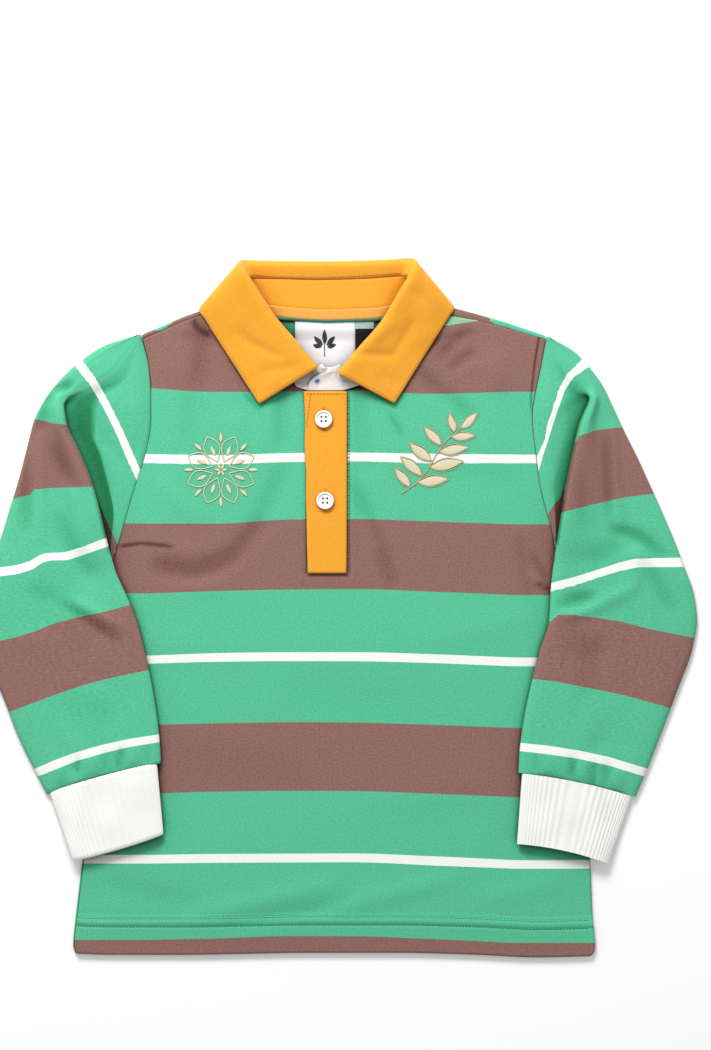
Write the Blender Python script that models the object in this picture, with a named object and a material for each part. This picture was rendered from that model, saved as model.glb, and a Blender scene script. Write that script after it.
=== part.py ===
"""A child's long-sleeved rugby shirt with a polo collar, laid flat on its back.

+X runs across the chest, +Y from the hem to the collar, and +Z up from the
table (z = 0).  Tables and sizes are in millimetres and become metres when a
mesh is made.  "left" and "right" are the sides of the laid-out shirt as it is
looked down on.
"""

import math
from collections import Counter, namedtuple

import bmesh
import bpy
from mathutils import Vector

MM = 0.001

# ---- driving dimensions, millimetres --------------------------------------------------

CLOTH = 1.2             # jersey wall
TWILL = 1.5             # two plies of collar twill
STAND = 1.4             # collar stand wall
RIB_CLOTH = 1.7         # cuff wall, without its ribs
TAPE = 0.8              # neck tape wall
LABEL = 0.5             # woven label
LABEL_CLEAR = 0.15      # more clearance under a label, where the back's rows bend
GAP = 0.3               # clearance between neighbouring pieces
BODY_LOFT = 1.2         # air between front and back in the middle of the body
LOFT_FADE = 32.0        # distance over which the loft dies away at an edge
HEM_HEIGHT = 22.0       # depth of the turned hem
HEM_TURN = 0.5          # what the turned layer adds to the wall
UNDER_FRONT = CLOTH + GAP               # underside of the front where it lies on the back
FRONT_TOP = UNDER_FRONT + CLOTH         # upper face of the front along its seams
NECK_RISE = 1.9         # the back of the collar lies under the panels: a ply and clearance
NECK_RISE_FOOT = 186.0
NECK_RISE_LEFT = -118.0
NECK_RISE_RIGHT = 104.0
SLEEVE_FOLD = 4.2       # height of a flat sleeve at its pressed edges
SLEEVE_FULL = 5.0       # height of a flat sleeve between them
CUFF_FOLD = 5.4         # height of a flat cuff
RIBS = 56               # ribs round one cuff
RIB_RISE = 0.35
SIDE_DROP = 16.0        # distance over which a sleeve drops from the body to the table
SIDE_SHELF = 4.0        # and how far past the body's side the drop begins
REST_ON_BODY = 0.6      # clearance of a sleeve above the front panel
ARMHOLE_CLEAR = 0.35    # the sleeve's edge outside the armhole line
ARMHOLE_INSET = 0.45    # the body panels' edges inside it
SEAM_SHOWS_LEFT = 1.9   # how far the side seams lie inside the silhouette
SEAM_SHOWS_RIGHT = 0.8
ROW_LEVEL = 24.5        # foot of the placket, above which the body's rows bend
SLOT = (-18.0, 4.0)     # cut in the front panel, filled by the under placket
SLOT_FOOT = 30.0
PLACKET = 1.4           # placket band, two plies
BUTTON_DIAMETER = 12.2
BUTTON_HEIGHT = 2.6
BUTTON_HOLE = 1.5
BUTTON_HOLE_SPREAD = 1.5
BUTTON_PLACES = ((-8.6, 132.0), (-7.6, 75.0))

# ---- outline tables ---------------------------------------------------------------

Side = namedtuple("Side", "y x")
Top = namedtuple("Top", "x y")

SIDE_LEFT = [Side(*row) for row in (
    (-243.0, -182.5), (-236.0, -184.0), (-215.0, -182.0), (-180.0, -178.0),
    (-70.0, -167.5), (33.5, -156.0), (45.5, -152.0), (63.5, -147.0),
    (86.5, -140.0), (107.0, -133.5), (131.5, -129.5), (152.5, -129.5),
    (172.0, -131.5), (190.0, -136.0),
)]
SIDE_RIGHT = [Side(*row) for row in (
    (-243.0, 180.5), (-236.0, 181.5), (-215.0, 179.5), (-180.0, 178.0),
    (-64.5, 166.0), (44.0, 153.0), (54.5, 151.0), (68.5, 147.0),
    (88.5, 142.3), (107.0, 140.0), (134.0, 137.3), (144.0, 138.3),
    (157.0, 141.0), (174.5, 144.5), (188.5, 147.0),
)]
HEM = [Top(*row) for row in (
    (-183.0, -243.0), (-158.0, -244.2), (-108.0, -244.2), (-57.5, -242.7),
    (43.5, -242.7), (94.0, -243.5), (144.0, -244.6), (181.0, -243.0),
)]
# Upper edge of the front: shoulder seam, neckline, shoulder seam.
FRONT_EDGE = [Top(*row) for row in (
    (-136.0, 187.5), (-122.0, 193.5), (-108.0, 199.8), (-92.0, 205.3),
    (-77.0, 210.5), (-70.0, 194.5), (-63.0, 185.3), (-56.5, 177.0),
    (-48.0, 169.5), (-39.0, 163.0), (-30.5, 157.2), (-22.5, 152.0),
    (-18.0, 151.5), (4.0, 151.5), (8.0, 151.5), (16.0, 153.5),
    (25.0, 156.5), (35.0, 163.5), (45.0, 172.0), (52.0, 182.0),
    (57.5, 193.0), (64.5, 208.5), (82.0, 203.5), (100.0, 198.2),
    (115.0, 193.4), (131.0, 188.6), (146.4, 184.3),
)]
# Upper edge of the back: the shoulder's turned edge, the back neckline, and again.
BACK_EDGE = [Top(*row) for row in (
    (-136.5, 190.8), (-122.0, 196.8), (-108.0, 203.0), (-92.0, 208.6),
    (-77.0, 213.8), (-62.0, 206.3), (-45.0, 203.2), (-25.0, 201.6),
    (-4.0, 201.0), (24.0, 201.6), (42.0, 203.4), (52.0, 206.5),
    (64.5, 214.2), (82.0, 209.2), (100.0, 204.2), (118.0, 199.6),
    (131.0, 195.0), (147.0, 189.4),
)]
# How far the back turns forward over the shoulder, at each edge's shoulder point.
TURN_LEFT = 3.0
TURN_RIGHT = 5.2
BACK_NECK = (4, 12)     # places in BACK_EDGE between which the neckline runs

# Soft folds of the body: one row for each, from one end to the other.
Fold = namedtuple("Fold", "x0 y0 x1 y1 half_width height")
BODY_FOLDS = [Fold(*row) for row in (
    (-95.0, 180.0, -60.0, 120.0, 14.0, 0.6),
    (-120.0, 95.0, -70.0, 20.0, 16.0, -0.5),
    (70.0, 175.0, 110.0, 110.0, 15.0, 0.6),
    (60.0, 60.0, 125.0, 20.0, 14.0, -0.5),
    (-100.0, -60.0, 20.0, -90.0, 20.0, 0.4),
    (30.0, -150.0, 120.0, -110.0, 20.0, -0.4),
)]

# Sleeve caps: a row for each section from the shoulder to the underarm.
Cap = namedtuple("Cap", "seam_y valley_x valley_y valley_z crest_x crest_y crest_z "
                        "mid_x mid_y outer_x outer_y")
CAP_LEFT = [Cap(*row) for row in (
    (186.5, -139.5, 187.0, 3.9, -141.0, 187.5, 4.3, -143.5, 188.6, -147.5, 190.4),
    (168.0, -142.5, 173.0, 4.2, -148.0, 176.0, 5.2, -154.5, 179.5, -162.5, 183.0),
    (147.0, -151.0, 158.5, 4.2, -159.5, 163.5, 6.6, -170.0, 168.5, -180.0, 171.5),
    (129.5, -162.5, 147.5, 3.9, -173.5, 154.0, 8.2, -185.5, 158.0, -195.5, 156.5),
    (109.0, -170.0, 135.5, 3.8, -184.0, 142.0, 8.8, -196.5, 144.5, -205.0, 143.5),
    (92.0, -171.0, 124.5, 3.8, -185.0, 128.5, 9.0, -200.0, 130.0, -211.0, 131.5),
    (75.5, -166.5, 108.5, 3.8, -180.0, 109.5, 9.0, -200.0, 110.5, -216.5, 110.5),
    (60.0, -160.5, 87.5, 3.8, -173.0, 89.5, 9.0, -197.5, 89.5, -222.0, 89.5),
    (46.0, -157.5, 67.0, 4.2, -167.0, 69.5, 9.0, -196.5, 68.5, -228.5, 68.5),
    (33.5, -160.0, 40.0, 6.4, -167.0, 47.0, 8.8, -199.0, 46.5, -235.0, 47.5),
)]
CAP_RIGHT = [Cap(*row) for row in (
    (184.8, 149.8, 185.2, 3.9, 151.2, 185.6, 4.3, 153.0, 186.6, 155.5, 188.0),
    (168.0, 151.5, 172.0, 4.2, 156.0, 174.8, 5.2, 161.0, 177.2, 167.0, 179.0),
    (149.5, 157.0, 157.5, 4.2, 165.5, 163.0, 6.6, 171.0, 167.0, 177.5, 168.0),
    (134.0, 160.0, 143.5, 3.9, 173.5, 153.5, 8.0, 179.5, 156.0, 186.0, 156.5),
    (117.5, 161.0, 131.5, 3.8, 174.5, 141.5, 8.8, 183.5, 144.0, 192.0, 144.5),
    (100.0, 160.0, 119.5, 3.8, 171.5, 123.5, 9.0, 183.5, 124.5, 201.0, 125.0),
    (83.0, 157.5, 103.5, 3.8, 168.0, 107.5, 9.0, 187.5, 108.5, 210.0, 107.0),
    (68.5, 155.0, 86.0, 3.8, 164.5, 88.0, 9.0, 190.5, 88.0, 219.0, 87.5),
    (56.5, 154.8, 72.5, 4.2, 161.0, 70.0, 9.0, 193.0, 67.5, 227.5, 68.5),
    (44.0, 157.0, 49.0, 6.4, 163.0, 52.0, 8.8, 196.0, 47.5, 236.5, 47.5),
)]
# Sleeves below the underarm: a row for each section, down to the cuff seam.
Arm = namedtuple("Arm", "inner_x inner_y mid_x mid_y outer_x outer_y rise")
ARM_LEFT = [Arm(*row) for row in (
    (-152.5, 22.0, -199.0, 24.5, -244.5, 25.5, 0.8),
    (-145.0, 5.5, -196.5, 1.0, -251.0, 4.5, 0.5),
    (-139.5, -8.5, -193.0, -18.5, -252.0, -12.0, 0.2),
    (-133.5, -31.0, -189.5, -42.0, -246.5, -34.5, 0.0),
    (-128.0, -57.5, -182.5, -71.0, -234.5, -59.0, 0.0),
    (-124.2, -83.0, -173.5, -95.0, -222.0, -91.0, 0.0),
    (-122.8, -98.0, -168.0, -108.5, -211.0, -113.5, 0.3),
    (-122.3, -108.2, -165.0, -118.3, -202.5, -130.3, -0.4),
)]
ARM_RIGHT = [Arm(*row) for row in (
    (152.0, 30.0, 198.0, 29.0, 243.5, 29.0, 0.8),
    (150.0, 11.0, 199.5, 9.5, 250.5, 9.0, 0.5),
    (149.0, -8.0, 202.5, -7.0, 252.5, -9.0, 0.2),
    (143.0, -28.0, 195.5, -31.0, 249.5, -28.0, 0.0),
    (136.5, -52.5, 188.5, -57.5, 239.0, -57.5, 0.0),
    (130.0, -86.0, 178.0, -93.5, 226.0, -92.0, 0.0),
    (128.0, -104.0, 172.0, -110.5, 217.0, -115.0, 0.3),
    (127.5, -115.3, 168.5, -121.5, 209.5, -132.5, -0.4),
)]
# Cuff openings: the two corners of the lower edge.
Cuff = namedtuple("Cuff", "inner_x inner_y mid_x mid_y outer_x outer_y")
CUFF_LEFT = Cuff(-120.5, -157.5, -152.5, -168.5, -184.0, -176.2)
CUFF_RIGHT = Cuff(126.5, -165.0, 158.5, -169.5, 190.5, -178.8)
CUFF_INSET = 2.6        # what the cuff is narrower than the sleeve, each side

# Collar: a row for each section, from one front end round the back to the other.
# wrap is 0 where the leaf lies over the front and 1 where it lies under the back.
Collar = namedtuple("Collar", "fall_x fall_y roll_x roll_y seam_x seam_y neck_x neck_y wrap")
COLLAR = [Collar(*row) for row in (
    (-53.6, 143.3, -12.1, 169.0, -15.6, 166.8, -23.0, 156.0, 0.0),
    (-58.5, 150.9, -19.5, 177.6, -22.9, 175.3, -35.0, 163.6, 0.0),
    (-64.0, 159.4, -27.5, 187.0, -30.8, 184.6, -45.0, 170.0, 0.0),
    (-74.3, 175.5, -41.7, 203.5, -44.8, 201.0, -57.5, 181.0, 0.0),
    (-84.6, 191.6, -54.2, 222.3, -56.8, 219.2, -67.0, 194.0, 0.0),
    (-91.5, 202.6, -62.3, 234.8, -62.2, 228.8, -72.5, 204.0, 0.0),
    (-96.4, 208.8, -66.6, 241.4, -62.2, 232.6, -75.2, 211.5, 0.2),
    (-96.0, 213.2, -66.0, 242.9, -59.5, 231.6, -75.5, 215.5, 0.6),
    (-92.5, 212.4, -61.5, 243.1, -56.0, 231.0, -69.5, 211.4, 0.96),
    (-80.0, 203.6, -52.0, 243.0, -48.5, 230.8, -56.5, 206.8, 1.0),
    (-44.0, 200.2, -36.0, 242.7, -34.0, 230.6, -38.0, 203.8, 1.0),
    (-7.0, 198.8, -7.0, 242.5, -7.0, 230.2, -7.0, 202.0, 1.0),
    (32.0, 200.2, 26.0, 243.3, 25.0, 231.2, 27.0, 203.0, 1.0),
    (66.0, 204.4, 41.5, 244.0, 38.0, 232.2, 46.5, 206.0, 1.0),
    (79.4, 214.2, 49.5, 244.4, 44.5, 232.6, 57.5, 211.4, 0.96),
    (83.0, 215.6, 54.0, 244.0, 48.0, 232.6, 63.0, 216.5, 0.6),
    (83.8, 210.2, 54.8, 241.8, 50.0, 233.0, 63.2, 212.0, 0.2),
    (79.2, 204.6, 52.0, 235.0, 51.2, 228.2, 61.0, 204.0, 0.0),
    (72.0, 193.2, 44.0, 221.4, 46.6, 218.2, 57.5, 195.0, 0.0),
    (61.6, 176.8, 31.2, 200.2, 34.2, 197.6, 48.0, 178.0, 0.0),
    (51.2, 160.2, 15.9, 182.6, 19.2, 180.2, 34.0, 164.0, 0.0),
    (46.0, 151.9, 8.3, 173.8, 11.7, 171.7, 23.0, 157.2, 0.0),
    (40.8, 143.6, 0.7, 165.0, 4.3, 163.2, 12.0, 154.0, 0.0),
)]
TIP_LIFT = 0.9          # how far the two points stand off the chest
# Height of the leaf's middle surface across a section, seam to fall edge.
Leaf = namedtuple("Leaf", "reach over under")
LEAF = {                # reach: place from the roll (0) to the fall edge (1)
    "seam": Leaf(None, 8.0, 4.2),
    "puff": Leaf(None, 8.4, 5.8),
    "roll": Leaf(0.02, 10.0, 3.5),
    "turn": Leaf(0.08, 11.8, 1.1),
    "slope": Leaf(0.35, 9.8, 0.75),
    "flat": Leaf(0.7, 7.3, 0.75),
}
FALL_UNDER = 0.75
NECK_UNDER = 3.4        # middle of the stand where it meets the back
NECK_TAPE = (9, 13)     # rows of COLLAR that the tape runs between
TAPE_WIDTH = 6.6

# Placket band: a row for each section, from its foot to the neck.
Band = namedtuple("Band", "y left right")
PLACKET_BAND = [Band(*row) for row in (
    (24.5, -19.5, 7.0), (30.0, -19.6, 7.1), (45.0, -20.0, 7.2), (65.0, -20.4, 7.3),
    (85.0, -20.8, 7.4), (105.0, -21.2, 7.4), (125.0, -21.6, 7.5), (140.0, -21.9, 7.5),
    (151.2, -22.0, 7.5),
)]
# Facing that shows between the collar's ends, from the placket up to its free edge.
Facing = namedtuple("Facing", "x0 y0 x1 y1 height")
FACING = [Facing(*row) for row in (
    (-21.0, 152.2, 16.0, 152.2, 4.6),
    (-22.5, 155.5, 20.0, 153.6, 4.8),
    (-20.0, 160.0, 19.0, 156.6, 5.2),
    (-15.0, 164.6, 12.0, 160.4, 5.8),
    (-9.0, 168.0, 4.0, 165.0, 6.2),
)]
LABEL_BOX = (-28.5, 159.0, 13.3, 200.2)     # x0 y0 x1 y1
TAG_BOX = (13.8, 179.0, 26.5, 200.2)


# ---- helpers --------------------------------------------------------------------------

def mix(a, b, t):
    return a + (b - a) * t


def step(t):
    """Smooth step from 0 to 1."""
    t = min(max(t, 0.0), 1.0)
    return t * t * (3.0 - 2.0 * t)


def read(rows, t):
    """Second column of a two-column table at t in its first column."""
    for a, b in zip(rows, rows[1:]):
        if t <= b[0]:
            return mix(a[1], b[1], max(0.0, (t - a[0]) / (b[0] - a[0])))
    return rows[-1][1]


def fold_height(folds, x, y):
    """Sum of the soft folds at a point: a round ridge along each fold's line."""
    total = 0.0
    for f in folds:
        dx, dy = f.x1 - f.x0, f.y1 - f.y0
        length = dx * dx + dy * dy
        t = ((x - f.x0) * dx + (y - f.y0) * dy) / length
        along = step(1.0 - abs(2.0 * t - 1.0) * 0.5) if 0.0 < t < 1.0 else step(0.5)
        t = min(max(t, 0.0), 1.0)
        away = math.hypot(x - f.x0 - t * dx, y - f.y0 - t * dy)
        total += f.height * along * math.exp(-(away / f.half_width) ** 2)
    return total


def body_left(y):
    return read(SIDE_LEFT, y)


def body_right(y):
    return read(SIDE_RIGHT, y)


def cut_left(y):
    """Cut edge of the panels: at the side line, and just inside the armhole line."""
    return body_left(y) + ARMHOLE_INSET * step((y - 20.0) / 12.0)


def cut_right(y):
    return body_right(y) - ARMHOLE_INSET * step((y - 30.0) / 12.0)


def neck_rise(x, y):
    """How far the hidden back of the collar lifts what lies on it."""
    across = step((x - NECK_RISE_LEFT) / 18.0) * step((NECK_RISE_RIGHT - x) / 18.0)
    return NECK_RISE * step((y - NECK_RISE_FOOT) / 10.0) * across


def front_top(x, y):
    """Height of the front panel's upper face above the table."""
    shoulder = read([(-136.0, 187.5), (-77.0, 210.5), (64.5, 208.5), (146.4, 184.3)], x)
    fade = step((x - body_left(y)) / LOFT_FADE) * step((body_right(y) - x) / LOFT_FADE)
    fade *= step((shoulder - y) / LOFT_FADE) * step((y - read(HEM, x)) / LOFT_FADE)
    return FRONT_TOP + neck_rise(x, y) + fade * (BODY_LOFT + fold_height(BODY_FOLDS, x, y))


def material(name, colour, roughness):
    made = bpy.data.materials.new(name)
    made.use_nodes = True
    shader = made.node_tree.nodes["Principled BSDF"]
    shader.inputs["Base Color"].default_value = (*colour, 1.0)
    shader.inputs["Roughness"].default_value = roughness
    return made


def finish(name, points, faces, finish_of):
    """Make a named object from points in millimetres, its faces turned outwards."""
    mesh = bpy.data.meshes.new(name)
    mesh.from_pydata([[c * MM for c in point] for point in points], [], faces)
    shape = bmesh.new()
    shape.from_mesh(mesh)
    bmesh.ops.recalc_face_normals(shape, faces=shape.faces)
    shape.to_mesh(mesh)
    shape.free()
    mesh.materials.append(finish_of)
    made = bpy.data.objects.new(name, mesh)
    bpy.context.collection.objects.link(made)
    return made


def wall(name, outer, inner, cells, finish_of):
    """Close a cloth wall: its outer and inner faces, and a rim along every free edge.

    outer and inner give a point for each key, and a cell is a ring of keys.
    """
    keys = sorted({key for cell in cells for key in cell})
    place = {key: n for n, key in enumerate(keys)}
    points = [outer[key] for key in keys] + [inner[key] for key in keys]
    count = len(keys)
    rings = [[place[key] for key in cell] for cell in cells]
    uses = Counter()
    for ring in rings:
        for a, b in zip(ring, ring[1:] + ring[:1]):
            uses[frozenset((a, b))] += 1
    faces = []
    for ring in rings:
        faces.append(ring)
        faces.append([n + count for n in reversed(ring)])
        for a, b in zip(ring, ring[1:] + ring[:1]):
            if uses[frozenset((a, b))] == 1:
                faces.append([b, a, a + count, b + count])
    return finish(name, points, faces, finish_of)


def grid_cells(rows, columns, keep=None):
    return [
        ((i, j), (i, j + 1), (i + 1, j + 1), (i + 1, j))
        for i in range(rows - 1) for j in range(columns - 1)
        if keep is None or keep(i, j)
    ]


def normals(points, rows, columns, ring_from=None):
    """Unit normal of a surface given as a grid; rows from ring_from on are closed rings."""
    found = {}
    for i in range(rows):
        closed = ring_from is not None and i >= ring_from
        for j in range(columns):
            if closed:
                before, after = (j - 1) % (columns - 1), (j + 1) % (columns - 1)
            else:
                before, after = max(j - 1, 0), min(j + 1, columns - 1)
            across = Vector(points[i][after]) - Vector(points[i][before])
            along = Vector(points[min(i + 1, rows - 1)][j]) - Vector(points[max(i - 1, 0)][j])
            found[i, j] = across.cross(along).normalized()
    return found


def sheet(name, middle, thickness, finish_of):
    """A cloth wall laid evenly on both sides of a middle surface."""
    rows, columns = len(middle), len(middle[0])
    turned = normals(middle, rows, columns)
    outer, inner = {}, {}
    for key, direction in turned.items():
        point = Vector(middle[key[0]][key[1]])
        outer[key] = point + direction * thickness / 2
        inner[key] = point - direction * thickness / 2
    return wall(name, outer, inner, grid_cells(rows, columns), finish_of)


def slab(name, plan, top, thickness, finish_of, keep=None):
    """A cloth wall that lies flat: plan points, with an upper face at top(x, y)."""
    outer, inner = {}, {}
    for i, row in enumerate(plan):
        for j, (x, y) in enumerate(row):
            height = top(x, y)
            outer[i, j] = (x, y, height)
            inner[i, j] = (x, y, height - thickness(x, y))
    return wall(name, outer, inner, grid_cells(len(plan), len(plan[0]), keep), finish_of)


# ---- body -----------------------------------------------------------------------------

LOW_ROWS = (0.0, 0.068, 0.086, 0.2, 0.32, 0.44, 0.56, 0.68, 0.8, 0.9, 1.0)
HIGH_ROWS = (0.045, 0.17, 0.3, 0.43, 0.56, 0.68, 0.79, 0.885, 0.915, 0.945, 1.0)


def body_plan(edge, left, right, places=None):
    """Plan points of a body panel, in rows from the hem to its upper edge.

    Columns keep their share of the width of the zone that they stand in, and
    places gives the x of the columns that bound a zone and run straight up.
    """
    columns = []
    for x, y in edge:
        if places is None:
            ends = (left, right)
        elif x <= places[0]:
            ends = (left, lambda level: places[0])
        elif x >= places[1]:
            ends = (lambda level: places[1], right)
        else:
            ends = (lambda level: places[0], lambda level: places[1])
        share = (x - ends[0](y)) / (ends[1](y) - ends[0](y))
        columns.append((ends, min(max(share, 0.0), 1.0), y))
    rows = []
    for share_up in LOW_ROWS:
        row = []
        for ends, share, _ in columns:
            level = mix(read(HEM, mix(ends[0](-240.0), ends[1](-240.0), share)), ROW_LEVEL, share_up)
            row.append((mix(ends[0](level), ends[1](level), share), level))
        rows.append(row)
    for share_up in HIGH_ROWS:
        row = []
        for ends, share, y in columns:
            level = mix(ROW_LEVEL, y, share_up)
            row.append((mix(ends[0](level), ends[1](level), share), level))
        rows.append(row)
    return rows


def hem_wall(x, y):
    """The panel is thicker in its turned hem."""
    return CLOTH + HEM_TURN * step((read(HEM, x) + HEM_HEIGHT - y) / 4.0 + 0.5)


def front_panel(finish_of):
    def left(y):
        return cut_left(y) + SEAM_SHOWS_LEFT * step((20.0 - y) / 60.0)

    def right(y):
        return cut_right(y) - SEAM_SHOWS_RIGHT * step((30.0 - y) / 60.0)

    plan = body_plan(FRONT_EDGE, left, right, SLOT)
    foot = len(LOW_ROWS)
    slot_from = [n for n, point in enumerate(FRONT_EDGE) if point.x == SLOT[0]][0]

    def top(x, y):
        return front_top(x, y) + hem_wall(x, y) - CLOTH

    return slab("front_panel", plan, top, hem_wall, finish_of,
                keep=lambda i, j: not (i >= foot and j == slot_from))


def back_panel(finish_of):
    """The back lies on the table and turns forward over both shoulders."""
    plan = body_plan(BACK_EDGE, cut_left, cut_right)
    rows, columns = len(plan), len(plan[0])
    outer, inner = {}, {}
    for i, row in enumerate(plan):
        for j, (x, y) in enumerate(row):
            outer[i, j] = (x, y, neck_rise(x, y))
            inner[i, j] = (x, y, neck_rise(x, y) + CLOTH)
    cells = grid_cells(rows, columns)
    last = rows - 1
    for first, final, turn in ((0, BACK_NECK[0], TURN_LEFT), (BACK_NECK[1], columns - 1, TURN_RIGHT)):
        for j in range(first, final + 1):
            x, y = plan[last][j]
            lift = neck_rise(x, y)
            half = lift + FRONT_TOP / 2
            outer[last, j] = (x, y - 0.5, lift)
            inner[last, j] = (x, y - CLOTH - 0.4, lift + CLOTH)
            outer[last + 1, j] = (x, y, half)
            inner[last + 1, j] = (x, y - CLOTH, half)
            outer[last + 2, j] = (x, y - 0.6, lift + FRONT_TOP - 0.1)
            inner[last + 2, j] = (x, y - CLOTH - 0.4, lift + UNDER_FRONT)
            outer[last + 3, j] = (x, y - turn, lift + FRONT_TOP)
            inner[last + 3, j] = (x, y - turn, lift + UNDER_FRONT)
        for i in range(last, last + 3):
            cells += [((i, j), (i, j + 1), (i + 1, j + 1), (i + 1, j)) for j in range(first, final)]
    return wall("back_panel", outer, inner, cells, finish_of)


# ---- sleeves --------------------------------------------------------------------------

def sleeve_base(side, x, y):
    """Height of what a sleeve lies on: the front panel, or past its side the table."""
    past = (body_left(y) - x) if side < 0 else (x - body_right(y))
    if past <= 0.0:
        return front_top(x, y) + REST_ON_BODY
    return (FRONT_TOP + REST_ON_BODY) * (1.0 - step((past - SIDE_SHELF) / SIDE_DROP))


def toward(a, b, reach):
    """Plan point at a distance from a on the way to b."""
    length = math.hypot(b[0] - a[0], b[1] - a[1])
    return mix(a[0], b[0], reach / length), mix(a[1], b[1], reach / length)


def outer_fold(plan, width, base):
    """Section of a pressed outer edge, upper layer to lower; plan(reach) gives its points."""
    reach = min(1.0, width / 14.0)
    return [
        (*plan(5.0 * reach), base + SLEEVE_FOLD + 0.5),
        (*plan(1.2 * reach), base + SLEEVE_FOLD - 0.8),
        (*plan(0.0), base + SLEEVE_FOLD / 2),
        (*plan(1.1 * reach), base + 0.7),
        (*plan(3.6 * reach), base),
    ]


def cap_section(row, side, weight):
    """Open section from the front seam over the fold to the back seam."""
    edge = body_left if side < 0 else body_right
    seam = (edge(row.seam_y) + side * ARMHOLE_CLEAR, row.seam_y)
    valley, crest = (row.valley_x, row.valley_y), (row.crest_x, row.crest_y)
    mid, outer = (row.mid_x, row.mid_y), (row.outer_x, row.outer_y)
    seam_top = FRONT_TOP + 0.7 * weight
    swell = max(0.0, math.dist(seam, valley) - 10.0) * 0.05 + 0.4
    section = [(*seam, seam_top)]
    for share in (0.33, 0.7):
        point = (mix(seam[0], valley[0], share), mix(seam[1], valley[1], share))
        section.append((*point, mix(seam_top, row.valley_z, share) + swell * (1.0 - weight)))
    section.append((*valley, row.valley_z))
    steep = (mix(valley[0], crest[0], 0.4), mix(valley[1], crest[1], 0.4))
    section.append((*steep, mix(row.valley_z, row.crest_z, 0.62)))
    section.append((*crest, row.crest_z))
    mid_z = min(row.crest_z - 0.3, SLEEVE_FULL + 1.0)
    for share in (0.35, 0.7, 1.0):
        point = (mix(crest[0], mid[0], share), mix(crest[1], mid[1], share))
        section.append((*point, mix(row.crest_z, mid_z, step(share))))
    for share in (0.4, 0.75):
        point = (mix(mid[0], outer[0], share * 0.8), mix(mid[1], outer[1], share * 0.8))
        section.append((*point, mix(mid_z, SLEEVE_FOLD + 0.6, share)))
    section += outer_fold(lambda reach: toward(outer, mid, reach), math.dist(outer, mid), 0.0)
    start = section[-1]
    arch = max(0.0, row.crest_z - SLEEVE_FULL - 1.2)
    for share in (0.15, 0.3, 0.45, 0.6, 0.72, 0.84, 0.93):
        x, y = mix(start[0], seam[0], share), mix(start[1], seam[1], share)
        rise = arch * math.sin(math.pi * share) ** 2
        lifted = weight * sleeve_base(side, x, y)
        section.append((x, y, max(rise * (1.0 - weight), lifted)))
    section.append((*seam, mix(0.0, seam_top, weight)))
    return section


def arc_point(a, middle, b, t):
    """Point at t on the parabola through a, middle at t = 0.5, and b."""
    return tuple(
        p * (2 * t - 1) * (t - 1) + q * 4 * t * (1 - t) + r * t * (2 * t - 1)
        for p, q, r in zip(a, middle, b)
    )


def arm_section(row, side):
    """Closed section of the flat sleeve, from its inner fold right round."""
    ends = ((row.inner_x, row.inner_y), (row.mid_x, row.mid_y), (row.outer_x, row.outer_y))
    width = math.dist(ends[0], ends[2])

    def lie(reach, height):
        point = arc_point(*ends, reach / width)
        return (*point, sleeve_base(side, *point) + height)

    full = SLEEVE_FULL + row.rise
    section = [lie(0.0, SLEEVE_FOLD / 2), lie(1.1, SLEEVE_FOLD - 0.8), lie(5.0, SLEEVE_FOLD + 0.4)]
    section += [lie(reach, full) for reach in (11.0, 18.0, 27.0)]
    section += [lie(mix(27.0, width - 5.0, share), full) for share in (0.18, 0.36, 0.52, 0.68, 0.84)]
    base = sleeve_base(side, *ends[2])
    section += outer_fold(lambda reach: arc_point(*ends, 1.0 - reach / width), width, base)
    section += [lie(mix(width - 3.6, 3.4, share), 0.0) for share in (0.15, 0.31, 0.47, 0.62, 0.75, 0.88, 1.0)]
    section.append(section[0])
    return section


def sleeve(name, caps, arms, side, finish_of):
    """A set-in sleeve: open along the armhole, closed from the underarm to the cuff."""
    sections = []
    for n, row in enumerate(caps):
        weight = 1.0 if n == len(caps) - 1 else 0.0
        sections.append(cap_section(row, side, weight))
    ring_from = len(caps) - 1
    sections[-1][-1] = sections[-1][0]
    sections += [arm_section(row, side) for row in arms]
    rows, columns = len(sections), len(sections[0])
    turned = normals(sections, rows, columns, ring_from)
    outward = -side
    outer, inner = {}, {}
    for (i, j), direction in turned.items():
        point = Vector(sections[i][j])
        outer[i, j] = point
        inner[i, j] = point - direction * CLOTH * outward
    last = columns - 1

    def ring(key):
        return (key[0], 0) if key[1] == last and key[0] >= ring_from else key

    cells = [tuple(ring(key) for key in cell) for cell in grid_cells(rows, columns)]
    return wall(name, outer, inner, cells, finish_of)


# ---- cuffs ----------------------------------------------------------------------------

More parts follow.
